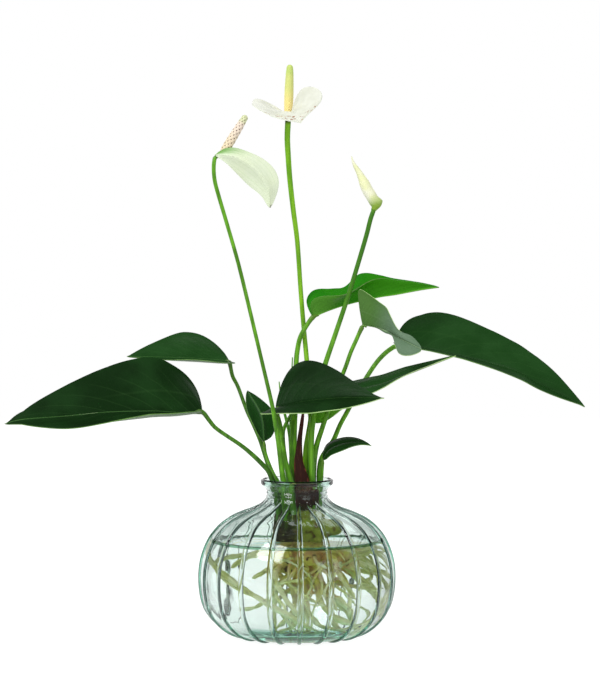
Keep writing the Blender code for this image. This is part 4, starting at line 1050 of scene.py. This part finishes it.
class ANTHURIUM_OT_vase(bpy.types.Operator):
    """Add the ribbed glass vase"""

    bl_idname = "anthurium.vase"
    bl_label = "Vase"

    def execute(self, context):
        look = context.scene.anthurium_vase
        outside = fine_profile(OUTSIDE)
        profile = outside + fine_profile(INSIDE)
        per_rib = len(RIB_COLUMNS) + PLAIN_COLUMNS
        columns = RIB_COUNT * per_rib
        obj = lathe("vase_glass", profile, columns)
        pitch = 2 * math.pi / RIB_COUNT
        for vert in obj.data.vertices:
            row = vert.index // columns
            radius, height = profile[row]
            turn = math.atan2(vert.co.y, vert.co.x)
            rib, part = divmod(round(turn / (2 * math.pi) * columns) % columns, per_rib)
            half = rib_half_angle(radius if row < len(outside) else WIDEST_RADIUS, look)
            lift = 0.0
            if part < len(RIB_COLUMNS):
                offset = RIB_COLUMNS[part] * half
                if row < len(outside):
                    lift = rib_lift(radius, height, RIB_COLUMNS[part], look)
            else:
                left = pitch - 2 * RIB_COLUMNS[-1] * half
                offset = RIB_COLUMNS[-1] * half + left * (part - len(RIB_COLUMNS) + 1) / (PLAIN_COLUMNS + 1)
            if row < len(outside):
                lift += ridge_lift(height)
            before, after = profile[max(row - 1, 0)], profile[min(row + 1, len(profile) - 1)]
            along = Vector((after[0] - before[0], after[1] - before[1])).normalized()
            radius += along.y * lift
            height -= along.x * lift
            turn = FRONT_RIB_TURN - math.pi / 2 + rib * pitch + offset
            vert.co = Vector((radius * math.cos(turn), radius * math.sin(turn), height)) * MM
        face_outwards(obj)
        hand_over(obj, "glass", [glass_finish(look)], "vase", smooth_to=50.0)
        return {"FINISHED"}


class ANTHURIUM_OT_water(bpy.types.Operator):
    """Add the water that fills the bulb"""

    bl_idname = "anthurium.water"
    bl_label = "Water"

    def execute(self, context):
        look = context.scene.anthurium_vase
        level = look.water_level / MM
        wall = [point for point in fine_profile(INSIDE) if point[1] < level + MENISCUS_HEIGHT]
        profile = []
        for (radius, height), (after, lower) in zip(wall, wall[1:] + [(0.0, FLOOR_HEIGHT)]):
            along = Vector((after - radius, lower - height)).normalized()
            profile.append((radius - along.y * WATER_OVERLAP, height + along.x * WATER_OVERLAP))
        edge, top = profile[0]
        surface = [
            (edge - MENISCUS_WIDTH * share, level + (top - level) * (1.0 - share) ** 3)
            for share in MENISCUS_SHARES[1:]
        ]
        obj = lathe("clear_water", profile[::-1] + surface, WATER_COLUMNS)
        face_outwards(obj)
        clear = water_finish("clear_water", WHITE)
        # The meniscus band gets a painted tint and its two edge lines a painted shade, standing in for light
        # bent and reflected by the curved water
        painted_tint = water_finish("water_rim", look.water_rim)
        line = water_finish("water_line", look.water_line)
        for material in (clear, painted_tint, line):
            obj.data.materials.append(material)
        for polygon in obj.data.polygons:
            middle = polygon.center / MM
            share = (edge - math.hypot(middle.x, middle.y)) / MENISCUS_WIDTH
            if middle.z > level - LEVEL_SLACK and polygon.normal.z > 0.0 and share < 1.0:
                on_painted_line = share < MENISCUS_SHARES[1] or share > MENISCUS_SHARES[-2]
                polygon.material_index = 2 if on_painted_line else 1
        hand_over(obj, "water", [clear, painted_tint, line], "water", smooth_to=50.0)
        return {"FINISHED"}


# The rootstock and the roots


def drawn(draw, ranges):
    """A way drawn at random, each part of it within its own range."""
    return Vector(draw.uniform(low, high) for low, high in ranges)


def side_root(draw):
    """A route that wanders out of the root mass, sinks and follows the glass."""
    centre, halves = (Vector(part) for part in ROOT_MASS)
    place = centre + Vector(half * draw.uniform(*SIDE_ROOT_STARTS) for half in halves)
    heading = drawn(draw, SIDE_ROOT_WAYS).normalized()
    route = [place]
    for _ in range(draw.randint(*SIDE_ROOT_STEPS)):
        heading = (heading + drawn(draw, SIDE_ROOT_SWERVES) * SIDE_ROOT_TURN).normalized()
        place = place + heading * SIDE_ROOT_STEP
        place.z = clamp(place.z, SIDE_ROOT_FLOOR, SIDE_ROOT_TOP)
        room = inner_radius(place.z) - WALL_CLEARANCE
        reach = math.hypot(place.x, place.y)
        if reach > room:
            place.x *= room / reach
            place.y *= room / reach
        place.x = max(place.x, SIDE_ROOT_LEFT)
        way = place - route[-1]
        if way.length < SHORTEST_STEP:
            break
        heading = way.normalized()
        route.append(place)
    return route


def inner_radius(height):
    """How wide the bulb is inside at a height."""
    for (wide, high), (narrow, low) in zip(INSIDE, INSIDE[1:]):
        if low <= height <= high:
            return narrow + (wide - narrow) * (height - low) / (high - low)
    return INSIDE[-1][0]


class ANTHURIUM_OT_roots(bpy.types.Operator):
    """Add the bare roots and the swollen mass that they spring from"""

    bl_idname = "anthurium.roots"
    bl_label = "Roots"

    def execute(self, context):
        look = context.scene.anthurium_roots
        draw = random.Random(ROOT_SEED)
        pieces = [blob("root_mass", *ROOT_MASS)]
        for number in range(SWELLINGS):
            place = Vector(SWELLING_CENTRE) + Vector(draw.gauss(0, spread) for spread in SWELLING_SPREAD)
            size = draw.uniform(*SWELLING_SIZES)
            pieces.append(blob(f"swelling_{number}", place, [size * share for share in SWELLING_SHAPE], 3))
        routes = [(Vector(radii) * ROOT_SCALE, [Vector(p) for p in route]) for radii, route in ROOTS]
        for _ in range(SIDE_ROOTS):
            thick = draw.uniform(*SIDE_ROOT_RADII)
            routes.append(((thick, thick * SIDE_ROOT_TIP), side_root(draw)))
        for number, (radii, route) in enumerate(routes, 1):

            def radius_at(u, v, number=number, radii=radii):
                spot = (share * rate for share, rate in zip((u, v, number), ROOT_WANDER))
                tip = math.sqrt(clamp((1.0 - u) * ROOT_TIP))
                return value_at(radii, u) * (1.0 + ROOT_LUMPINESS * noise.noise(Vector(spot))) * tip

            if route_length(route) > 2 * SIDE_ROOT_STEP:
                pieces.append(swept(f"root_{number}", route, ROOT_STEP, ROOT_SIDES, radius_at))
        roots = join(pieces, "bare_roots")
        roughen(roots, ROOT_BARK)
        hand_over(roots, "roots", [root_finish(look)], "roots", smooth_to=180.0)
        return {"FINISHED"}


class ANTHURIUM_OT_crown(bpy.types.Operator):
    """Add the knobbly rootstock that the stalks stand in"""

    bl_idname = "anthurium.crown"
    bl_label = "Rootstock"

    def execute(self, context):
        look = context.scene.anthurium_roots
        draw = random.Random(KNOB_SEED)
        pieces = [blob(f"lump_{i}", centre, halves) for i, (centre, halves) in enumerate(CROWN_LUMPS, 1)]
        for number in range(KNOBS):
            centre, halves = draw.choice(CROWN_LUMPS[1:])
            way = drawn(draw, KNOB_WAYS).normalized()
            place = Vector(centre) + Vector(w * h * KNOB_DEPTH for w, h in zip(way, halves))
            size = draw.uniform(*KNOB_SIZES)
            pieces.append(blob(f"knob_{number}", place, (size, size, size * KNOB_FLATNESS), 2))
        crown = join(pieces, "rootstock")
        apply_modifier(crown, "weld", "REMESH", mode="VOXEL", voxel_size=CROWN_VOXEL * MM)
        apply_modifier(crown, "soften", "SMOOTH", factor=0.5, iterations=3)
        roughen(crown, CROWN_BARK)
        hand_over(crown, "crown", [crown_finish(look)], "crown")
        return {"FINISHED"}


# Leaves, stalks and stems


def blade_place(blade, share, across, relief):
    """A point of the blade's middle surface, and its distance from the midrib. Across runs from -1 to 1."""
    side = "far" if across > 0 else "near"
    swell, narrow, lobe = blade[side + "_edge"]
    wing = value_at([Vector(way) for way in blade[side]], share)
    out = abs(across)
    width = outline_width(share, swell, narrow)
    middle = share**MIDRIB_LEAD
    along = middle + (outline_along(share, lobe) - middle) * out**SIDE_CURVE
    place = route_at(blade["midrib"], along)
    ahead, behind = (route_at(blade["midrib"], middle + step) for step in (LOOK_AHEAD, -LOOK_AHEAD))
    face = (ahead - behind).cross(wing).normalized() * (1 if across > 0 else -1)
    bulge = blade["arch"] * math.sin(math.pi * min(out * ARCH_SPREAD, 1.0)) * width
    wave = blade["wave"] * math.sin(2 * math.pi * (WAVE_COUNT * share + WAVE_START)) * out**3 * width
    from_midrib = wing.length * out * width
    point = place + wing * (out * width) + face * (bulge + wave + relief(share, out, from_midrib))
    return point, math.copysign(from_midrib, across)


def make_blade(name, blade, relief, thickness):
    """A blade with a wall. Its vertices keep their distance from the midrib and how far out they are. The
    side that faces up has the first material, then come the other side and the rim."""
    kept = {}

    def place(u, v):
        turned = 2.0 * v - 1.0
        across = math.copysign(abs(turned) ** MIDRIB_CROWDING, turned)
        point, from_midrib = blade_place(blade, u**ROW_CROWDING, across, relief)
        kept[rounded(point, 1.0, 2)] = (from_midrib, across)
        return point

    obj = shaped_grid(name, BLADE_ROWS, BLADE_COLUMNS, place)
    on_midrib = (0.0, 0.0)
    keep_numbers(obj, "from_midrib", lambda co: kept.get(rounded(co, MM, 2), on_midrib)[0])
    keep_numbers(obj, "reach", lambda co: kept.get(rounded(co, MM, 2), on_midrib)[1])
    if sum(polygon.normal.z * polygon.area for polygon in obj.data.polygons) < 0.0:
        edit(obj, lambda: bpy.ops.mesh.flip_normals())
    for _ in range(3):
        obj.data.materials.append(None)
    thicken(obj, thickness)
    return obj


def thicken(obj, thickness):
    """Gives a sheet its wall. Where it has three materials, they go to one side, the other and the rim."""
    apply_modifier(
        obj, "wall", "SOLIDIFY", thickness=thickness, offset=0.0, material_offset=1, material_offset_rim=2
    )


class ANTHURIUM_OT_leaves(bpy.types.Operator):
    """Add the leaf blades"""

    bl_idname = "anthurium.leaves"
    bl_label = "Leaves"

    def execute(self, context):
        look = context.scene.anthurium_leaves
        finishes = leaf_finishes(look)
        depth = look.relief / MM

        def relief(share, out, from_midrib):
            beat = (share ** (1.0 / ROW_CROWDING) - VEIN_SLANT * out) * look.side_veins
            from_vein = abs((beat + 0.5) % 1.0 - 0.5)
            groove = math.exp(-((from_midrib / GROOVE_WIDTH) ** 2))
            quilt = math.exp(-((from_vein / QUILT_WIDTH) ** 2)) * clamp(from_midrib / QUILT_START)
            return -depth * groove - QUILT_DEPTH * depth * (quilt * (1.0 - out**4))

        for name, blade in LEAVES.items():
            obj = make_blade(name, blade, relief, look.thickness)
            kind = LEAF_KINDS[name]
            hand_over(obj, LEAF_SLOTS.get(kind, "dark_leaf"), finishes[kind], name + "_blade")
        return {"FINISHED"}


def leaf_finishes(look):
    """Upper side, underside and rim of each kind of leaf."""
    veins = look.side_veins
    edge = plain_finish("leaf_rim", srgb(96, 140, 60), srgb(80, 120, 54), 0.45)
    # Painted highlight: this pale rim stands in for light catching the edges of leaves 4, 6 and 8
    highlight_edge_finish = plain_finish("pale_rim", srgb(176, 204, 140), srgb(150, 186, 110), 0.5)
    dark = look.dark, srgb(17, 52, 14), srgb(92, 140, 74)
    # Painted highlight: leaf 4 is the dark leaf with a strong painted pale line along its edge
    edged = look.dark, srgb(17, 52, 14), srgb(104, 156, 80)
    # Painted light: leaves 2, 3, 7 and 9 are the same dark leaf, painted lighter where they catch more light,
    # with a faint painted highlight at the edge
    fresh = look.fresh, srgb(28, 68, 24), srgb(92, 140, 74)
    two_tone = look.fresh, srgb(28, 68, 24), srgb(104, 156, 80)
    bright = look.bright, srgb(40, 128, 0), srgb(132, 188, 64)
    pale = look.pale, srgb(92, 124, 80), srgb(140, 176, 112)
    under_dark = srgb(84, 112, 76), srgb(96, 122, 86), srgb(160, 180, 140)
    under_backlit_base = srgb(104, 122, 100), srgb(90, 112, 86), srgb(170, 186, 160)
    under_bright = srgb(34, 126, 0), srgb(50, 134, 4), srgb(130, 190, 70)
    under_pale = srgb(98, 122, 98), srgb(78, 108, 78), srgb(160, 186, 140)
    dark_underside = leaf_finish("dark_underside", under_dark, 0.8, 0.5, veins)
    return {
        "dark": [leaf_finish("dark_leaf", dark, 0.4, 0.45, veins), dark_underside, edge],
        "edged": [leaf_finish("edged_leaf", edged, 0.2, 0.45, veins, edge=0.9), dark_underside, highlight_edge_finish],
        "fresh": [leaf_finish("fresh_leaf", fresh, 0.32, 0.42, veins, edge=0.2), dark_underside, edge],
        # Painted light: leaf 8 is the lit copy of the dark leaf, with a painted backlight glow in bright
        # green near its stalk and a painted highlight along its edge
        "two_tone": [
            leaf_finish("two_tone_leaf", two_tone, 0.4, 0.42, veins, srgb(112, 184, 50), (0.3, 0.42), 0.6),
            leaf_finish("two_tone_underside", under_backlit_base, 0.8, 0.5, veins),
            highlight_edge_finish,
        ],
        "bright": [
            leaf_finish("bright_leaf", bright, 0.6, 0.4, veins),
            leaf_finish("bright_underside", under_bright, 0.5, 0.5, veins, srgb(76, 138, 40), (0.3, 0.5)),
            edge,
        ],
        "pale": [
            leaf_finish("pale_leaf", pale, 0.7, 0.5, veins),
            leaf_finish(
                "pale_underside", under_pale, 0.6, 0.5, 2 * veins, srgb(74, 114, 50), (0.25, 0.75), 0.5
            ),
            highlight_edge_finish,
        ],
    }


class ANTHURIUM_OT_stalks(bpy.types.Operator):
    """Add the stalks of the leaves and the stems of the flowers"""

    bl_idname = "anthurium.stalks"
    bl_label = "Stalks and Stems"

    def execute(self, context):
        look = context.scene.anthurium_leaves
        green = stalk_finish("green_stalk", look.stalk, srgb(68, 122, 18), srgb(84, 124, 36))
        bright = stalk_finish("bright_stem", srgb(126, 186, 26), srgb(96, 156, 18), srgb(70, 84, 22))
        deep = stalk_finish(
            "deep_stem", srgb(112, 176, 40), srgb(80, 140, 26), srgb(74, 128, 18), srgb(50, 108, 16)
        )
        dull = stalk_finish("dull_stalk", srgb(76, 130, 26), srgb(50, 96, 18), srgb(70, 104, 44))
        for name, blade in LEAVES.items():
            reach = route_at(blade["midrib"], STALK_REACH) - Vector((0.0, 0.0, STALK_DROP))
            route = [*blade["stalk"], blade["midrib"][0], reach]
            finish = dull if name in DULL_STALKS else green
            self.tube(name + "_petiole", route, blade["stalk_radii"], JOINT_SWELL, finish, name + "_stalk")
        for name, (radii, route) in FLOWER_STEMS.items():
            finish = {"flower_2_stem": bright, "flower_3_stem": deep}.get(name, green)
            self.tube(name + "_fine", [*route, STEM_REACH[name]], radii, 0.0, finish, name)
        return {"FINISHED"}

    def tube(self, name, route, radii, swell, finish, node):
        length = route_length(route)
        cap = JOINT_LENGTH if swell else STEM_CAP
        top = route_at(route, 1.0)
        around, along = RIPPLE_TURNS

        def radius_at(u, v):
            ripple = STEM_RIPPLE * math.sin(2 * math.pi * (around * v + along * u))
            if not swell:
                return value_at(radii, u) * (1.0 + ripple)
            joint = clamp((u * length - (length - JOINT_LENGTH)) / JOINT_LENGTH * JOINT_EDGE)
            taper = clamp((1.0 - u) * length / STALK_TAPER, STALK_END, 1.0)
            return value_at(radii, u) * (1.0 + ripple + swell * joint) * taper

        obj = swept(name, route, STEM_STEP, STEM_SIDES, radius_at)
        keep_numbers(obj, "joint", lambda co: clamp((1.0 - (co / MM - top).length / cap) * JOINT_EDGE))
        hand_over(obj, "stalk", [finish], node)


# Flowers, bract and young leaves


class ANTHURIUM_OT_flowers(bpy.types.Operator):
    """Add the spathes and the spadices"""

    bl_idname = "anthurium.flowers"
    bl_label = "Flowers"

    def execute(self, context):
        look = context.scene.anthurium_flowers
        turned = spathe_finish(
            "turned_spathe", look.turned, srgb(214, 224, 198), srgb(96, 164, 34), green=0.85, base_end=0.55,
            ribs=9.0, line_depth=0.12, lean=(0.55, 0.82), tip=(srgb(70, 56, 40), 0.975, False)
        )
        white = spathe_finish(
            "white_spathe", look.spathe, srgb(206, 208, 194), srgb(196, 208, 150),
            tip=(srgb(150, 92, 66), 0.8, True)
        )
        rim = plain_finish("spathe_rim", srgb(228, 232, 218), srgb(214, 222, 200), 0.5)
        depth, width = SPATHE_GROOVE

        def relief(share, out, from_midrib):
            return -depth * math.exp(-((from_midrib / width) ** 2))

        for name, blade in SPATHES.items():
            obj = make_blade(name + "_fine", blade, relief, look.thickness)
            skin = turned if name == "flower_1_spathe" else white
            hand_over(obj, "spathe", [skin, skin, rim], name)
        self.rolled_spathe()
        ripe = spadix_finish(
            "ripe_spadix", srgb(222, 206, 170), look.brown_spadix, srgb(206, 212, 166), srgb(76, 50, 48)
        )
        fresh = spadix_finish(
            "fresh_spadix", look.yellow_spadix, srgb(208, 216, 128), srgb(186, 208, 110), srgb(206, 198, 108)
        )
        self.spadix("flower_1_spadix", ripe, "brown_spadix")
        self.spadix("flower_2_spadix", fresh, "yellow_spadix")
        return {"FINISHED"}

    def rolled_spathe(self):
        frames = {}

        def frame_at(u):
            ahead = route_at(ROLLED_ROUTE, min(u + LOOK_AHEAD, 1.0))
            axis = (ahead - route_at(ROLLED_ROUTE, max(u - LOOK_AHEAD, 0.0))).normalized()
            side = axis.cross(Vector((0, 1, 0))).normalized()
            return route_at(ROLLED_ROUTE, u), side, axis.cross(side)

        def place(u, v):
            if u not in frames:
                frames[u] = frame_at(u)
            centre, side, other = frames[u]
            if not AT_END < u < 1.0 - AT_END:
                return centre
            turn = v % 1.0
            grown = turn / FREE_EDGE if turn < FREE_EDGE else (1.0 - turn) / (1.0 - FREE_EDGE)
            radius = value_at(ROLLED_RADII, u) * (1.0 + ROLL_STEP * (grown - 0.5))
            angle = 2 * math.pi * (turn + ROLL_TWIST * u) + ROLL_START
            way = side * math.cos(angle) + other * math.sin(angle)
            flare = FLARE * clamp(1.0 - abs(u - FLARE_PLACE) / FLARE_LENGTH) * clamp(way.x) ** 3
            return centre + way * (radius + flare)

        obj = shaped_grid("flower_3_spathe_fine", ROLLED_ROWS, ROLLED_COLUMNS, place)
        face_outwards(obj)
        cream = spathe_finish(
            "cream_spathe", srgb(230, 231, 208), srgb(222, 226, 168), srgb(122, 160, 20), green=0.95
        )
        hand_over(obj, "closed_spathe", [cream], "flower_3_spathe", smooth_to=180.0)

    def spadix(self, name, finish, slot):
        radii, base, tip, around, along = SPADICES[name]
        base, tip = Vector(base), Vector(tip)
        length = (tip - base).length
        axis = (tip - base).normalized()
        side = axis.cross(Vector((0, 1, 0))).normalized()
        other = axis.cross(side)
        crossings = {}

        def place(u, v):
            turn = v % 1.0
            rising = math.sin(math.pi * (around * turn + along * u))
            falling = math.sin(math.pi * (around * turn - along * u))
            floret = math.sqrt(abs(rising * falling))
            past = max(u * length - (length - radii[-1]), 0.0) / radii[-1]
            cap = math.sqrt(clamp(1.0 - past**2)) if u > AT_END else 0.0
            radius = value_at(radii, u) * cap * (1.0 + FLORET_HEIGHT * (floret - FLORET_MIDDLE))
            angle = 2 * math.pi * turn
            point = base.lerp(tip, u) + (side * math.cos(angle) + other * math.sin(angle)) * radius
            crossings[rounded(point, 1.0, 3)] = rising**2 + falling**2
            return point

        obj = shaped_grid(name + "_fine", SPADIX_ROWS, SPADIX_COLUMNS, place)
        face_outwards(obj)
        keep_numbers(
            obj, "floret", lambda co: clamp((crossings.get(rounded(co, MM, 3), 1.0) - GAP_WIDTH) * GAP_EDGE)
        )
        hand_over(obj, slot, [finish], name)


class ANTHURIUM_OT_sheaths(bpy.types.Operator):
    """Add the dry bract and the rolled young leaves among the stalks"""

    bl_idname = "anthurium.sheaths"
    bl_label = "Bract and Young Leaves"

    def execute(self, context):
        look = context.scene.anthurium_flowers
        self.bract(look)
        green = stalk_finish("young_leaf", srgb(120, 182, 60), srgb(84, 150, 44), srgb(120, 182, 60))
        for name, (radii, route) in YOUNG_LEAVES.items():

            def radius_at(u, v, radii=radii):
                return value_at(radii, u) * (1.0 + YOUNG_ROLL * ((v + YOUNG_TWIST * u) % 1.0 - 0.5))

            leaf = swept(name + "_fine", route, STEM_STEP, YOUNG_SIDES, radius_at)
            hand_over(leaf, "young_leaf", [green], name)
        return {"FINISHED"}

    def bract(self, look):
        rows = row_count(BRACT_ROUTE, STEM_STEP)
        frames = ring_frames(BRACT_ROUTE, rows)
        count, height = BRACT_RIDGES

        def place(u, v):
            row = round(u * rows)
            radius = value_at(BRACT_RADII, u) if 0 < row < rows else 0.0
            angle = 2 * math.pi * (v % 1.0)
            ridges = 1.0 + height * math.sin(count * angle + 3 * u)
            way = Vector((math.cos(angle), math.sin(angle) * BRACT_FLATNESS, 0.0))
            return frames[row][0] + way * radius * ridges

        def wrap(u, v):
            turn = between(list(SHEATH_TURNS), 0, v)
            ragged = SHEATH_RAGGED * noise.noise(Vector((v * SHEATH_JAGS, 4.2, 0.0)))
            ragged -= SHEATH_CORNERS * abs(2.0 * v - 1.0) ** 4
            wave = noise.noise(Vector((v * SHEATH_WAVES[0], u * SHEATH_WAVES[1], 1.0)))
            radius = SHEATH_RADIUS + SHEATH_WAVE * wave
            height = SHEATH_FOOT + (SHEATH_TOP - SHEATH_FOOT + ragged) * u
            return Vector((radius * math.cos(turn), radius * math.sin(turn), height))

        bract = shaped_grid("dry_bract", rows, BRACT_SIDES, place)
        face_outwards(bract)
        sheath = shaped_grid("old_sheath", *SHEATH_GRID, wrap)
        thicken(sheath, SHEATH_WALL * MM)
        hand_over(join([bract, sheath], "dry_bract"), "bract", [bract_finish(look)], "bract")


# Stage


def add_world():
    """White where the camera looks past the object. Gloss and glass see a bright wall behind the vase."""
    world = bpy.data.worlds.new("studio")
    world.use_nodes = True
    bpy.context.scene.world = world
    sky = Nodes(world.node_tree)
    sky.tree.nodes.clear()
    _, y, z = sky.split(sky.node("ShaderNodeTexCoord").outputs["Generated"])
    path = sky.node("ShaderNodeLightPath").outputs
    behind = sky.times(sky.ramp(y, *WALL_SPREAD), sky.ramp(z, *WALL_TOP))
    lit = sky.math("MULTIPLY_ADD", behind, 1.0 - ROOM_LIGHT, ROOM_LIGHT)
    soft = sky.blend(lit, SOFT_LIGHT, path["Diffuse Depth"])
    room = sky.node("ShaderNodeBackground", {"Color": WHITE, "Strength": soft}).outputs[0]
    white = sky.node("ShaderNodeBackground", {"Color": WHITE, "Strength": 1.0}).outputs[0]
    mixed = sky.node("ShaderNodeMixShader", {0: path["Is Camera Ray"], 1: room, 2: white}).outputs[0]
    sky.node("ShaderNodeOutputWorld", {"Surface": mixed})


def floor_finish(look):
    """Matt surface, white to the camera. Gloss and glass see it bright behind the vase and close to it."""
    finish = Finish(
        "pale_floor", Base_Color=look.floor, Roughness=1.0, Specular_IOR_Level=0.0, Emission_Color=WHITE
    )
    x, y, _ = finish.split(finish.place())
    reach = finish.math("SQRT", finish.math("ADD", finish.times(x, x), finish.times(y, y)))
    behind = finish.ramp(finish.math("DIVIDE", y, reach), *WALL_SPREAD)
    close = finish.ramp(reach, *CLOSE_REACH)
    path = finish.node("ShaderNodeLightPath").outputs
    bright = finish.math("MAXIMUM", behind, close)
    lit = finish.math("MULTIPLY_ADD", bright, FLOOR_GLOSS - ROOM_LIGHT, ROOM_LIGHT)
    gathered = finish.math("MULTIPLY_ADD", finish.ramp(reach, *GATHERED_REACH), GATHERED_LIGHT, SOFT_LIGHT)
    soft = finish.blend(lit, gathered, path["Diffuse Depth"])
    white = finish.blend(FLOOR_WHITE, 1.0, finish.ramp(reach, *WHITE_REACH))
    strength = finish.blend(soft, white, path["Is Camera Ray"])
    finish.tree.links.new(strength, finish.shader.inputs["Emission Strength"])
    return finish.material


class ANTHURIUM_OT_stage(bpy.types.Operator):
    """Add the camera, the floor and the light"""

    bl_idname = "anthurium.stage"
    bl_label = "Stage"

    def execute(self, context):
        look = context.scene.anthurium_stage
        deselect()
        bpy.ops.object.camera_add(location=CAMERA_PLACE, rotation=(math.pi / 2 - CAMERA_PITCH, 0.0, 0.0))
        camera = context.object
        camera.data.lens = CAMERA_LENS
        camera.data.sensor_width = SENSOR_WIDTH
        camera.data.clip_start = NEAREST
        context.scene.camera = camera
        deselect()
        bpy.ops.mesh.primitive_circle_add(vertices=FLOOR_SIDES, radius=FLOOR_RADIUS, fill_type="NGON")
        floor = context.object
        floor.name = "floor"
        floor.data.materials.append(floor_finish(look))
        for name, (place, size, mirrored) in LIGHTS.items():
            self.panel(getattr(look, name), place, size, mirrored)
        add_world()
        context.scene.view_settings.view_transform = "Standard"
        return {"FINISHED"}

    def panel(self, power, place, size, mirrored):
        """A soft square light that faces the plant. Gloss shows it if it is mirrored."""
        turn = (Vector(LIT_PLACE) - Vector(place)).to_track_quat("-Z", "Y").to_euler()
        bpy.ops.object.light_add(type="AREA", location=place, rotation=turn)
        panel = bpy.context.object
        panel.visible_glossy = mirrored
        panel.data.energy = power
        panel.data.size = size


# The sidebar and the run


class ANTHURIUM_PT_panel(bpy.types.Panel):
    """Settings of the plant and the buttons that build it"""

    bl_label = "Anthurium in a Vase"
    bl_idname = "ANTHURIUM_PT_panel"
    bl_space_type = "VIEW_3D"
    bl_region_type = "UI"
    bl_category = "Anthurium"

    def draw(self, context):
        for name, _, operators in PARTS:
            box = self.layout.box()
            settings = getattr(context.scene, name)
            for setting in settings.bl_rna.properties.keys():
                if setting not in ("rna_type", "name"):
                    box.prop(settings, setting)
            for operator in operators:
                box.operator(operator.bl_idname)


PARTS = (
    ("anthurium_vase", VaseLook, (ANTHURIUM_OT_vase, ANTHURIUM_OT_water)),
    ("anthurium_roots", RootLook, (ANTHURIUM_OT_roots, ANTHURIUM_OT_crown)),
    ("anthurium_leaves", LeafLook, (ANTHURIUM_OT_leaves, ANTHURIUM_OT_stalks)),
    ("anthurium_flowers", FlowerLook, (ANTHURIUM_OT_flowers, ANTHURIUM_OT_sheaths)),
    ("anthurium_stage", StageLook, (ANTHURIUM_OT_stage,)),
)
CLASSES = [group for _, look, operators in PARTS for group in (look, *operators)] + [ANTHURIUM_PT_panel]


def register():
    for group in CLASSES:
        bpy.utils.register_class(group)
    for name, look, _ in PARTS:
        setattr(bpy.types.Scene, name, PointerProperty(type=look))


def unregister():
    for name, _, _ in PARTS:
        delattr(bpy.types.Scene, name)
    for group in reversed(CLASSES):
        bpy.utils.unregister_class(group)


def main():
    register()
    for _, _, operators in PARTS:
        for operator in operators:
            group, name = operator.bl_idname.split(".")
            getattr(getattr(bpy.ops, group), name)()


if __name__ == "__main__":
    main()
